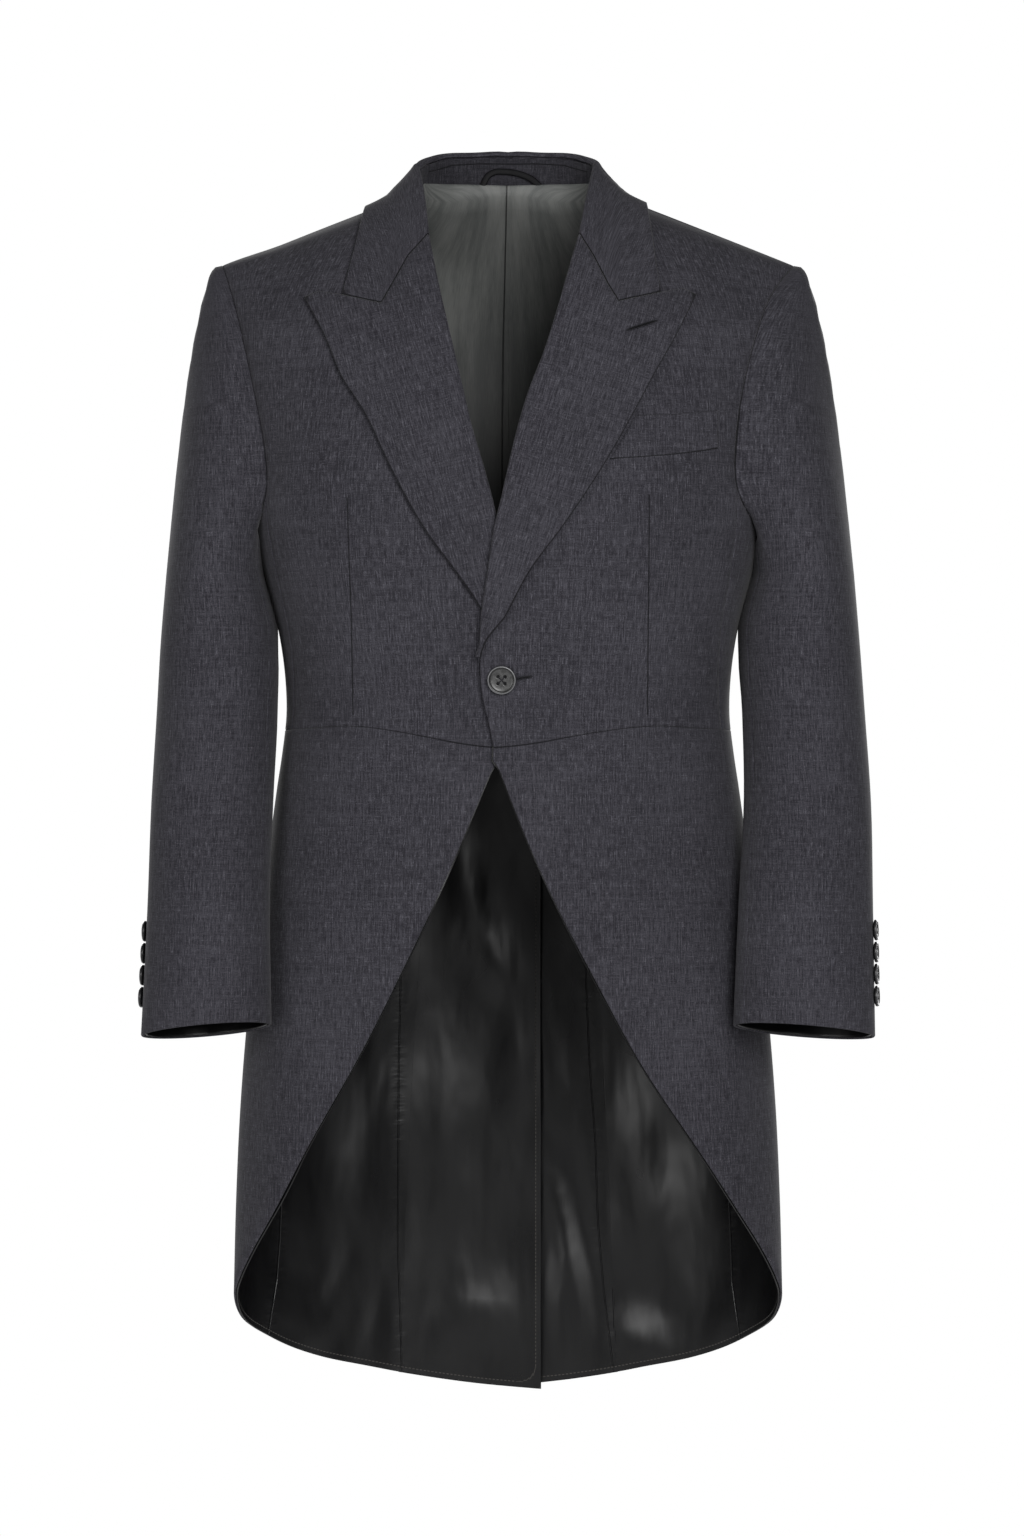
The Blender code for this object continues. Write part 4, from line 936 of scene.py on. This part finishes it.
def overCollarSeam(outer, inner):
    # the lining's top edge stands over the foot of the collar stand, on one even line
    rows, columns, look = 7, 3 * fine + 1, panelLook["neckLine"]
    first = outer[0, :columns]
    level = smooth(look["across"], look["height"], np.abs(first[:, 0]))
    share = ease((look["end"] - np.abs(first[:, 0])) / look["taper"])
    lift = np.maximum(level - first[:, 2], 0) * share
    start = first + np.stack([0 * lift, -look["inward"] * share, lift], axis=-1)
    turn = first + np.stack([0 * lift, -look["inward"] * share, -look["under"] * share], axis=-1)
    way = (np.arange(rows + 1) / rows)[:, None, None]
    fall, run = np.minimum(way * rows / 2, 1), np.maximum((way * rows - 2) / (rows - 2), 0)
    chord = np.where(run > 0, turn * (1 - run) + outer[rows, :columns] * run, start * (1 - fall) + turn * fall)
    move = np.zeros_like(outer)
    weight = share[None, :, None] * (1 - way**6)
    move[:rows + 1, :columns] = (chord - outer[:rows + 1, :columns]) * weight
    return outer + move, inner + move


# painted shade below the armhole, at the body's side where the sleeve lies against it
def underArmShade(points):
    share = abs(points[..., 0]) / column(body, "halfWidth", points[..., 2])
    return ease((share - 0.97) / 0.03) * ease((-150 - points[..., 2]) / 40) * ease((points[..., 2] + 366) / 30)


def makeBody(side):
    name, look = sideName(side), panelLook
    lines = [look["dart"][name]] + ([look["weltLine"]] if side > 0 else [])
    # the front and side body carry the painted shade under the arm in the mark "deep"
    panel(f"front_{name}", side, frontSpots(side), ("top", "right", "bottom"), cloth, "cloth",
          creases=look["frontCreases"][name],
          marks=lambda points: {"deep": underArmShade(points), **lineMarks(points, lines)})
    panel(f"side_body_{name}", side, sideBodySpots(side), ("top", "left", "right", "bottom"), cloth, "cloth",
          marks=lambda points: {"deep": underArmShade(points) * (points[..., 1] < 10)})
    upper, tail = backSpots(side)
    whole = np.concatenate([upper, tail[1:]])
    creases = look["backCreases"][name] + look["skirtCreases"][name]
    panel(f"back_{name}", side, whole, ("top", "left", "right"), cloth, "cloth", creases=creases)
    skirt = skirtSpots(side)
    panel(f"skirt_{name}", side, skirt, ("top", "right"), cloth, "cloth", creases=creases,
          marks=lambda points: {**borderMarks(points, ("left",)), **edgeLine(points, ("top",))})
    under = -(clothThick + liningGap)
    every = ("top", "left", "right", "bottom")
    seams = [look["tailSeam"][name], look["sideSeam"][name]]

    def neckMarks(points):
        # painted shade: the grey lining darkens from the chest down, by the table "fade"
        deep = column(look["fade"], "share", points[..., 2])
        return {"deep": deep, **lineMarks(points, [look["centreSeam"]])}

    lining = {"seams": every, "top": under, "thick": satinThick, "roundness": 0.0, "gap": liningSeamGap}
    panel(f"back_lining_{name}", side, upper, material=greySatin, slot="grey_satin", **lining,
          creases=look["neckFolds"][name], marks=neckMarks, reshape=overCollarSeam)
    folds = look["satinFolds"][name] + look["skirtCreases"][name]
    for piece, spots, borders in (("tail", tail, ("left", "bottom")), ("skirt", skirt, ("bottom",))):
        panel(f"{piece}_lining_{name}", side, spots, material=blackSatin, slot="black_satin", **lining,
              creases=folds, marks=lambda points: {**lineMarks(points, seams), **borderMarks(points, borders)})


sleeveLook = {
    "biceps": -300, "headShares": (0, 0.05, 0.15, 0.32, 0.6, 1), "headCurve": 0.46, "headLift": -0.4,
    "bodyGap": -1.0, "tiltFront": 7.0, "tiltOutside": -4.5, "forearmSeam": 150, "hindTop": 300, "hindCuff": 352,
    "rope": 1.6, "ropeAt": 12.0, "ropeWidth": 14.0, "ropeStart": 7.0, "seamWide": 1.5,
    "againstBody": {"deep": 3.0, "low": -362.0, "high": -335.0, "past": 0.45},
    # degrees round, height, degrees round, height, bend, width, depth, in mm where a degree counts 0.9
    "creases": {
        "right": ((60, -330, 120, -420, 8, 14, -1.8), (80, -400, 20, -500, -6, 12, 1.4),
                  (40, -520, 45, -640, 3, 14, -0.9), (100, -250, 60, -360, 6, 14, 1.2)),
        "left": ((60, -350, 118, -440, 8, 14, -1.8), (90, -380, 30, -480, -6, 12, 1.4),
                 (46, -500, 40, -640, -3, 14, -0.9), (96, -240, 66, -350, 6, 14, 1.2)),
    },
}


def sleeveRing(side, height, around):
    name, angle = sideName(side), np.radians(around)
    outer, inner = column(sleeve, f"{name}Outer", height), column(sleeve, f"{name}Inner", height)
    tilt = ease((sleeveLook["biceps"] - height) / (sleeveLook["biceps"] - sleeve["height"][0]))
    across = (outer + inner) / 2 + (outer - inner) / 2 * np.cos(angle)
    deep = column(sleeve, f"{name}Middle", height) - column(sleeve, "depth", height) / 2 * np.sin(angle)
    slant = sleeveLook["tiltFront"] * np.sin(angle) + sleeveLook["tiltOutside"] * np.cos(angle)
    level = height + tilt * slant
    return np.stack(np.broadcast_arrays(side * across, deep, level), axis=-1)


def sleeveHead(side, share, around):
    spots = armholeSpots(side, around)
    outward = formNormal(side, spots[..., 0], spots[..., 1]) * sleeveLook["headLift"]
    start = bareForm(side, spots[..., 0], spots[..., 1]) + outward
    end = sleeveRing(side, sleeveLook["biceps"], around)
    reach = share ** sleeveLook["headCurve"]
    points = start + (end - start) * np.stack([reach, reach, share], axis=-1)
    bodySide = column(body, "halfWidth", points[..., 2])
    lift, gap = sleeveLook["headLift"], sleeveLook["bodyGap"]
    clear = bodySide + lift + (gap - lift) * ease(share * 5)
    nearBody = np.cos(np.radians(around)) < -0.8
    points[..., 0] = side * np.where(nearBody, np.maximum(side * points[..., 0], clear), side * points[..., 0])
    return points


def sleeveGrid(side):
    shares = finer(sleeveLook["headShares"], fine)
    heights = finer((sleeveLook["biceps"], *sleeve["height"][-2::-1]), fine)[1:]
    hindTop, forearm = sleeveLook["hindTop"], sleeveLook["forearmSeam"]
    topAround, underAround = roundSteps(hindTop - 360, forearm), roundSteps(forearm, hindTop)[1:-1]
    count = len(shares) + len(heights)
    rows, turns = [], []
    for row in range(count):
        hind = hindTop + (sleeveLook["hindCuff"] - hindTop) * ease(row / (count - 1))
        over = np.interp(topAround, (hindTop - 360, forearm), (hind - 360, forearm))
        below = np.interp(underAround, (forearm, hindTop), (forearm, hind))
        around = np.mod(np.concatenate([over, below]), 360)
        turns.append(around)
        if row < len(shares):
            rows.append(sleeveHead(side, np.full_like(around, shares[row]), around))
        else:
            rows.append(sleeveRing(side, heights[row - len(shares)], around))
    grid, turns = np.array(rows), np.array(turns)
    # the upper arm lies against the body
    against = sleeveLook["againstBody"]
    facing = ease((-np.cos(np.radians(turns)) - against["past"]) / 0.25)
    upper = ease((grid[..., 2] - against["low"]) / (against["high"] - against["low"]))
    leaving = ease(np.arange(count) / 2)[:, None]
    grid[..., 0] -= side * against["deep"] * facing * upper * leaving
    return grid, turns, len(topAround)


def sleeveInward(side, grid, armholeAround):
    over = np.roll(grid, -1, axis=1) - np.roll(grid, 1, axis=1)
    inward = unit(np.cross(np.gradient(grid, axis=0), over)) * side
    spots = armholeSpots(side, armholeAround)
    leaving = unit(np.cross(formNormal(side, spots[..., 0], spots[..., 1]), over[0]))
    inward[0] = unit(inward[0] - leaving * np.sum(inward[0] * leaving, axis=-1, keepdims=True))
    return inward


def makeSleeve(side):
    name = sideName(side)
    grid, turns, topColumns = sleeveGrid(side)
    inward = sleeveInward(side, grid, turns[0])
    aroundNear = np.where(turns > 270, turns - 360, turns)
    out = creased(aroundNear * 0.9, grid[..., 2], [
        (a * 0.9, b, c * 0.9, d, bend, width, depth)
        for a, b, c, d, bend, width, depth in sleeveLook["creases"][name]])
    fromArmhole = np.linalg.norm(grid - grid[:1], axis=-1)
    rope = sleeveLook["rope"] * np.exp(-((fromArmhole - sleeveLook["ropeAt"]) / sleeveLook["ropeWidth"]) ** 2)
    rope = rope * ease(fromArmhole / sleeveLook["ropeStart"]) * ease((np.cos(np.radians(turns)) + 0.1) / 0.8)
    grid = grid - inward * (out + rope)[..., None]
    inside = grid + inward * clothThick
    total = grid.shape[1]
    pieces = {"top_sleeve": (0, topColumns), "under_sleeve": (topColumns - 1, total + 1)}
    for piece, (first, end) in pieces.items():
        picks = np.arange(first, end) % total
        outer, inner = grid[:, picks], inside[:, picks]
        moves = seamMoves(outer, ("left", "right"))
        outer, inner = outer + moves, inner + moves
        fromSeam = fromArmhole[:, picks]
        marks = {"line1": np.maximum(fromSeam - sleeveLook["seamWide"], 0),
                 "reach1": np.full_like(fromSeam, farOff)}
        level = np.minimum(outer[..., 2], sleeveLook["biceps"])
        middle = (column(sleeve, f"{name}Outer", level) + column(sleeve, f"{name}Inner", level)) / 2
        deep = outer[..., 1] - column(sleeve, f"{name}Middle", level)
        turned = roundWay(side * outer[..., 0] - middle, deep, 50.0, 58.0)
        weave = np.stack([turned, outer[..., 2]], axis=-1)
        sewn(f"{piece}_{name}", outer, inner, cloth, "cloth", weave=weave, marks=marks)
    around = np.linspace(0, 360, 24 * fine + 1)[:-1]
    heights = np.linspace(sleeve["height"][0] + 33.0, sleeve["height"][0] + 1.0, 3 * fine)
    rings = np.array([sleeveRing(side, height, around) for height in heights])
    centreWay = unit(rings.mean(axis=1, keepdims=True) - rings)
    outer = rings + centreWay * (clothThick + cuffLiningGap)
    sewn(f"cuff_lining_{name}", outer, outer + centreWay * satinThick, blackSatin, "black_satin", closed=True)


rollLook = {"outer": 3.0, "centre": (-1.5, -1.1), "gorgeGap": 0.5, "fallCurve": 1.4, "fallClear": 1.3,
            "footWider": 7.0, "footWide": 0.12, "footHigh": 34.0,
            "edgeLift": 2.2, "peakLift": 1.2, "collarLift": 0.3}


def rolled(flat, thick, side):
    normal = gridNormals(flat) * side
    start, out = flat[:, 0], normal[:, 0]
    across = unit(flat[:, 1] - start)
    across = unit(across - out * np.sum(across * out, axis=1, keepdims=True))
    faces = []
    for radius, lift in ((rollLook["outer"], thick), (rollLook["outer"] - thick, 0)):
        turned = []
        for degrees in np.linspace(-90, -270, 13):
            over = rollLook["centre"][0] + radius * math.cos(math.radians(degrees))
            up = rollLook["centre"][1] + radius * math.sin(math.radians(degrees))
            turned.append(start + across * over + out * up)
        spread = flat[:, 1:] + normal[:, 1:] * lift
        faces.append(np.concatenate([np.stack(turned, axis=1), spread], axis=1))
    return faces


def gorgeSpots(side, last):
    times = 4
    heights, across = finer(gorge["height"][:last + 1], times), finer(gorge[sideName(side)][:last + 1], times)
    return spot(side, across, heights)


def makeLapel(side):
    name = sideName(side)
    top = gorgeSpots(side, len(gorge["height"]) - 1)
    shares = np.linspace(0, 1, 12 * fine + 1) ** 0.9
    low = lapelEdge["height"][0]
    rollHeights = gorge["height"][0] + shares * (low - gorge["height"][0])
    edgeHeights = gorge["height"][-1] + shares * (low - gorge["height"][-1])
    edgeAcross = column(lapelEdge, name, edgeHeights) + rollLook["footWider"] * shares**6
    foot = column(frontEdge, name, edgeHeights)
    belowFoot = ease((low + rollLook["footHigh"] - edgeHeights) / rollLook["footHigh"])
    narrow = 1 - (1 - rollLook["footWide"]) * belowFoot
    edgeAcross = foot + (edgeAcross - foot) * narrow
    roll = spot(side, column(frontEdge, name, rollHeights), rollHeights)
    edge = spot(side, edgeAcross, edgeHeights)
    bottom = spot(side, np.linspace(foot[-1], edgeAcross[-1], len(top)), np.full(len(top), low))
    roll[0], roll[-1] = top[0], bottom[0]
    edge[0], edge[-1] = top[-1], bottom[-1]
    # the free edge stands off the chest a little, least at the peak and at the button
    over = np.linspace(0, 1, len(top))[None] ** 2
    peak, most = rollLook["peakLift"], rollLook["edgeLift"]
    down = peak + (most - peak) * np.sin(shares * math.pi)[:, None]
    flat = form(side, patch(roll, edge, top, bottom), laidOnGap + over * down)
    outer, inner = rolled(flat, lapelThick, side)
    moves = seamMoves(outer, ("top",), rollLook["gorgeGap"])
    outer, inner = outer + moves, inner + moves
    rollDirection = np.array([column(frontEdge, name, -250) - column(frontEdge, name, -100), 150])
    rollDirection = rollDirection * (side, 1) / np.linalg.norm(rollDirection)
    x, z = outer[..., 0], outer[..., 2]
    over, up = rollDirection
    weave = np.stack([x * up + z * over, z * up - x * over], axis=-1)
    # dark lines on the gorge seam, and painted shade along the free edges of the peak and the outer edge
    sewn(f"lapel_{name}", outer, inner, cloth, "cloth", "folded", weave=weave,
         marks=edgeLine(outer, ("top", "right")))


def overShoulder(across, arch):
    height = shoulderLine(across) - dropOf(abs(arch))
    return np.array([math.degrees(math.asin(across / float(column(body, "halfWidth", height)))), arch])


def collarBorders(side, rows):
    name = sideName(side)
    fold = [overShoulder(a, b) for a, b in zip(neck["fold"], neck["foldArch"])]
    edge = [overShoulder(a, b) for a, b in zip(neck["edge"], neck["edgeArch"])]
    gorgeLine = gorgeSpots(side, notchAt)
    fold.append(gorgeLine[0])
    edge.extend(spot(side, np.array(collarFront[name]), np.array(collarFront["height"])))
    edge.append(gorgeLine[-1])
    shares = np.linspace(0, 1, rows)
    along = lengthsAlong(np.array(fold))
    rise = smooth(along / along[-1], [*neck["rise"], 0], shares)
    return through(fold, shares), through(edge, shares), rise, gorgeLine


def halfCollar(side):
    rows = 11 * fine + 1
    fold, edge, rise, gorgeLine = collarBorders(side, rows)
    start = np.linspace(fold[0], edge[0], len(gorgeLine))
    lift = rollLook["collarLift"] * np.linspace(0, 1, len(gorgeLine))[None] ** 2
    flat = form(side, patch(fold, edge, start, gorgeLine), laidOnGap + lift * np.ones((rows, 1)))
    over = np.linspace(1, 0, len(gorgeLine))[None] ** rollLook["fallCurve"]
    flat[..., 2] += rollLook["fallClear"] * np.linspace(1, 0, rows)[:, None] + rise[:, None] * over
    return flat


def makeCollar():
    halves = []
    for side in (-1, 1):
        outer, inner = rolled(halfCollar(side), lapelThick, side)
        moves = seamMoves(outer, ("bottom",), rollLook["gorgeGap"])
        halves.append([outer + moves, inner + moves])
    for k in (0, 1):
        middle = (halves[0][k][0] + halves[1][k][0]) / 2
        middle[:, 0] = 0
        halves[0][k][0] = halves[1][k][0] = middle
    outer, inner = (np.concatenate([halves[0][k][:0:-1], halves[1][k]]) for k in (0, 1))
    # dark lines on the collar's ends at the gorge, and painted shade along its free outer edge
    sewn("collar", outer, inner, cloth, "cloth", "folded", marks=edgeLine(outer, ("top", "right", "bottom")))


standLook = {"foot": 0.8, "head": -0.6, "lean": 1.5, "centre": 5.0, "last": 5,
             "stitchLine": ((-66, 24), (-47, 31.5), (-24, 33.2), (0, 33), (24, 33.2), (47, 31.5), (66, 24))}


def standLine(side, shares):
    last = standLook["last"]
    fold = np.array([overShoulder(neck["fold"][k], neck["foldArch"][k]) for k in range(last + 1)])
    along = lengthsAlong(fold)
    return form(side, through(fold, shares)), smooth(along / along[-1], neck["rise"][:last + 1], shares)


def makeStand():
    halves = []
    for side in (-1, 1):
        foot, rise = standLine(side, np.linspace(0, 1, 9 * fine + 1))
        inward = -foot * (1, 1, 0)
        inward[:, 1] += standLook["centre"]
        inward = unit(inward)
        up = np.linspace(0, 1, 3 * fine + 1)
        height = standLook["foot"] + (rise[:, None] - standLook["foot"] - standLook["head"]) * up[None]
        lean = standLook["lean"] * np.sin(up * math.pi / 2)
        face = foot[:, None] + inward[:, None] * lean[None, :, None]
        face[..., 2] += height
        halves.append((face, face + inward[:, None] * clothThick))
    outer, inner = (np.concatenate([halves[0][k][:0:-1], halves[1][k]]) for k in (0, 1))
    along = np.broadcast_to(lengthsAlong(outer[:, 0])[:, None], outer.shape[:2])
    sewn("collar_stand", outer, inner, shadeCloth, "stand_cloth", "folded",
         weave=np.stack([along, outer[..., 2]], axis=-1), marks=lineMarks(outer, [standLook["stitchLine"]]))


# the four corners, and how near its end the upper line counts as lying, which draws it faint
weltLook = {"height": (-180, -174, -204, -214.5), "across": (99.5, 164.4, 164.3, 79.5), "faint": -0.15}


def makeWelt():
    corners = spot(1, np.array(weltLook["across"]), np.array(weltLook["height"]))
    top = np.linspace(corners[0], corners[1], 8 * fine + 1)
    bottom = np.linspace(corners[3], corners[2], 8 * fine + 1)
    spots = np.linspace(top, bottom, 3 * fine + 1)
    outer, inner = form(1, spots, weltLift), form(1, spots, weltLift - lapelThick)
    lower, upper = (edgeLine(outer, (border,))["line1"] for border in ("bottom", "top"))
    marks = {"line1": lower, "reach1": np.full_like(lower, farOff),
             "line2": upper, "reach2": np.full_like(upper, weltLook["faint"])}
    sewn("welt_pocket", outer, inner, cloth, "cloth", "folded", weave=outer[..., ::2], marks=marks)


loopLook = {"across": (-21.2, -17, -13, -2.5, 9.7, 20.2, 25.9),
            "height": (13.7, 22.3, 25.5, 26.7, 24.7, 19.8, 14.6),
            "width": 5.0, "thick": 1.6, "gap": 0.3}


def makeLoop():
    across = finer(loopLook["across"], 6)
    height = smooth(loopLook["across"], loopLook["height"], across)
    foot, _ = standLine(1, np.linspace(0, 1, 60))
    depth = np.interp(np.abs(across), foot[:, 0], foot[:, 1]) - clothThick - standLook["lean"] - loopLook["gap"]
    line = np.stack([across, depth, height], axis=-1)
    sideWay = unit(np.cross(unit(np.gradient(line, axis=0)), np.array([0.0, 1.0, 0.0]))) * loopLook["width"] / 2
    strip = np.stack([line - sideWay, line, line + sideWay], axis=1)
    piece = shell("hanger_loop", strip, strip - np.array([0, loopLook["thick"], 0]), tape)
    place(piece, "tape", "hanger_loop")


buttonLook = {
    "frontAt": (-4.9, -386.0), "frontHoles": (5.4, 1.15), "cuffHoles": (3.6, 0.8),
    "frontProfile": ((8.3, 0), (10.4, 0.8), (11.1, 1.7), (11.3, 2.5), (11.1, 3.4), (10.6, 3.9),
                     (9.9, 4.0), (9.3, 3.75), (8.8, 3.2), (8.2, 2.95), (7.2, 2.8), (6.0, 2.7)),
    "cuffHeights": (-578.5, -595.5, -612.5, -629.5), "cuffAround": {"right": 352, "left": 8},
    "cuffProfile": ((6.2, 0), (7.8, 0.6), (8.2, 1.4), (8.1, 2.3), (7.6, 3.0),
                    (7.0, 3.2), (6.5, 3.0), (6.0, 2.65), (4.0, 2.5), (2.6, 2.45)),
    "seat": 0.4, "thread": 0.38, "threadHigh": 3.3, "threadSunk": 1.2, "holeDeep": 1.2, "ringStep": 0.35,
}


def seatMatrix(centre, normal):
    turned = Vector(normal).to_track_quat("Z", "Y").to_matrix().to_4x4()
    return Matrix.Translation(Vector(centre) * mm) @ turned


def turnedButton(name, seat, profile, segments, holes):
    # rings of the profile, then a flat middle with four holes whose rims sink in
    spread, hole = holes
    angle = np.linspace(0, 2 * math.pi, segments, endpoint=False)
    middle, level = profile[-1]
    step = buttonLook["ringStep"]
    inside = [(radius, level) for radius in np.arange(middle - step, 0.3, -step)]
    rings = [np.stack([r * np.cos(angle), r * np.sin(angle), np.full(segments, h)], axis=-1)
             for r, h in [*profile, *inside]]
    points = np.concatenate(rings)
    out = np.hypot(points[:, 0], points[:, 1]) / max(r for r, _ in profile)
    top = max(h for _, h in profile) / 2
    out = np.where(points[:, 2] < top, 1.0, out)
    deep = np.zeros(len(points))
    for x in (-1, 1):
        for y in (-1, 1):
            off = np.hypot(points[:, 0] - x * spread / 2, points[:, 1] - y * spread / 2)
            deep = np.maximum(deep, np.where(points[:, 2] > top, np.exp(-(off / hole) ** 4), 0))
    points[:, 2] -= buttonLook["holeDeep"] * deep
    count = len(rings)
    faces = []
    for r in range(count - 1):
        for k in range(segments):
            j = (k + 1) % segments
            faces.append((r * segments + k, r * segments + j, (r + 1) * segments + j, (r + 1) * segments + k))
    faces.append(tuple(range(segments - 1, -1, -1)))
    faces.append(tuple((count - 1) * segments + k for k in range(segments)))
    piece, mesh = meshPiece(name, [seat @ Vector(p * mm) for p in points], faces, buttonHorn)
    # the horn paints a highlight on the rim and shade at the edge from "stitch", and shade in the holes from
    # "deep"
    setMark(mesh, "stitch", out)
    setMark(mesh, "deep", deep)
    return piece


def makeButtons():
    at = spot(1, *buttonLook["frontAt"])
    seat = seatMatrix(form(1, at, buttonLook["seat"]), formNormal(1, at[0], at[1]))
    holes = buttonLook["frontHoles"]
    place(turnedButton("front_button", seat, buttonLook["frontProfile"], 72, holes), "horn", "front_button")
    run = np.linspace(-1, 1, 9)
    high, sunk = buttonLook["threadHigh"], buttonLook["threadSunk"]
    for turn in (-1, 1):
        path = np.stack([holes[0] / 2 * run, turn * holes[0] / 2 * run, high - sunk * run**4], axis=-1)
        path = np.array([seat @ Vector(p * mm) for p in path]) / mm
        tube(f"buttonThread{turn + 2}", path, buttonLook["thread"], threadStuff, formNormal(1, at[0], at[1]))
    for side in (-1, 1):
        name = sideName(side)
        around = buttonLook["cuffAround"][name]
        for k, height in enumerate(buttonLook["cuffHeights"]):
            here = sleeveRing(side, height, around)
            overWay = sleeveRing(side, height, around + 2.0) - here
            downWay = sleeveRing(side, height - 4.0, around) - here
            normal = unit(np.cross(overWay, downWay))
            normal = normal * np.sign(normal[0] * side)
            seat = seatMatrix(here + normal * buttonLook["seat"], normal)
            piece = turnedButton(f"cuff_button_{name}_{k + 1}", seat, buttonLook["cuffProfile"], 48,
                                 buttonLook["cuffHoles"])
            place(piece, "horn", f"cuff_button_{name}_{k + 1}")


# buttonholes: the cut's two ends, how far it stands off the form, half its width
holeLook = {
    "lapel": ((92, -114.4), (115, -106.6), laidOnGap + lapelThick + 1.35, 1.0),
    "front": ((6.3, -385.4), (18.6, -383.4), 0.25, 0.9),
    "thread": 0.45, "cut": 0.5,
}


def makeButtonhole(name):
    start, end, lift, wide = holeLook[name]
    start, end = np.array(start, float), np.array(end, float)
    middle, half = (start + end) / 2, (end - start) / 2
    beside = np.array([-half[1], half[0]]) / np.hypot(*half) * wide
    angle = np.linspace(0, 2 * math.pi, 48, endpoint=False)[:, None]
    loop = middle + half * np.sign(np.cos(angle)) * np.abs(np.cos(angle)) ** 0.5 + beside * np.sin(angle)
    cut = middle + half * np.linspace(-0.95, 0.95, 12)[:, None]
    around = spot(1, loop[:, 0], loop[:, 1])
    outward = formNormal(1, around[0, 0], around[0, 1])
    tube(f"{name}Buttonhole", form(1, around, lift), holeLook["thread"], threadStuff, outward, closed=True)
    # a near-black strand along the cut: painted shade in the slit
    along = spot(1, cut[:, 0], cut[:, 1])
    tube(f"{name}ButtonholeCut", form(1, along, lift - 0.1), holeLook["cut"], tape, outward)


stageLook = {
    "floor": -1.47, "wide": 2.4, "seen": 1.0, "lighting": 0.17,
    "lamps": {
        "key": ((0.9, -3.3, 0.35), 1.5, 106.0), "fill": ((-2.2, -2.6, -0.2), 1.3, 36.0),
        "behindRight": ((-1.6, 3.1, 0.6), 1.3, 66.0), "behindLeft": ((1.6, 3.0, 0.1), 1.3, 54.0),
    },
}


def makeStage():
    paint = Paint("paleFloor")
    grain = paint.noise(paint.place(), (9, 9, 9), 2.0)
    base = paint.mix(grain, (226, 226, 226), (234, 234, 234))
    paint.finish(baseColor=base, roughness=0.9)
    wide = stageLook["wide"]
    angle = np.linspace(0, 2 * math.pi, 96, endpoint=False)
    rim = [(wide * math.cos(a), wide * math.sin(a), stageLook["floor"]) for a in angle]
    floor, _ = meshPiece("floor", rim, [tuple(range(len(rim)))], paint.material)
    # the room is seen white and lights softly, so that the lamps shape the cloth
    world = bpy.data.worlds.new("paleRoom")
    world.use_nodes = True
    room = world.node_tree
    path, strength = room.nodes.new("ShaderNodeLightPath"), room.nodes.new("ShaderNodeMapRange")
    strength.inputs["To Min"].default_value = stageLook["lighting"]
    strength.inputs["To Max"].default_value = stageLook["seen"]
    room.links.new(path.outputs["Is Camera Ray"], strength.inputs["Value"])
    room.links.new(strength.outputs["Result"], room.nodes["Background"].inputs["Strength"])
    room.nodes["Background"].inputs["Color"].default_value = (1, 1, 1, 1)
    bpy.context.scene.world = world
    for name, (at, size, power) in stageLook["lamps"].items():
        lamp = bpy.data.lights.new(name, "AREA")
        lamp.size, lamp.energy = size, power
        light = bpy.data.objects.new(name, lamp)
        light.location = at
        light.rotation_euler = (Vector((0, 0, -0.45)) - Vector(at)).to_track_quat("-Z", "Y").to_euler()
        bpy.context.scene.collection.objects.link(light)
    lens = bpy.data.cameras.new("camera")
    lens.lens, lens.sensor_width, lens.sensor_fit = 117.2, 36.0, "AUTO"
    camera = bpy.data.objects.new("camera", lens)
    camera.location = (0.0032, -4.0, -0.4544)
    camera.rotation_euler = (math.pi / 2, 0, 0)
    bpy.context.scene.collection.objects.link(camera)
    bpy.context.scene.camera = camera
    bpy.context.scene.view_settings.view_transform = "Standard"


for side in (-1, 1):
    makeBody(side)
    makeSleeve(side)
    makeLapel(side)
    print("half of the coat made:", sideName(side))
makeCollar()
makeStand()
makeWelt()
makeLoop()
makeButtons()
makeButtonhole("lapel")
makeButtonhole("front")
print("collar, pocket, loop and buttons made")
makeStage()


print("stage made")
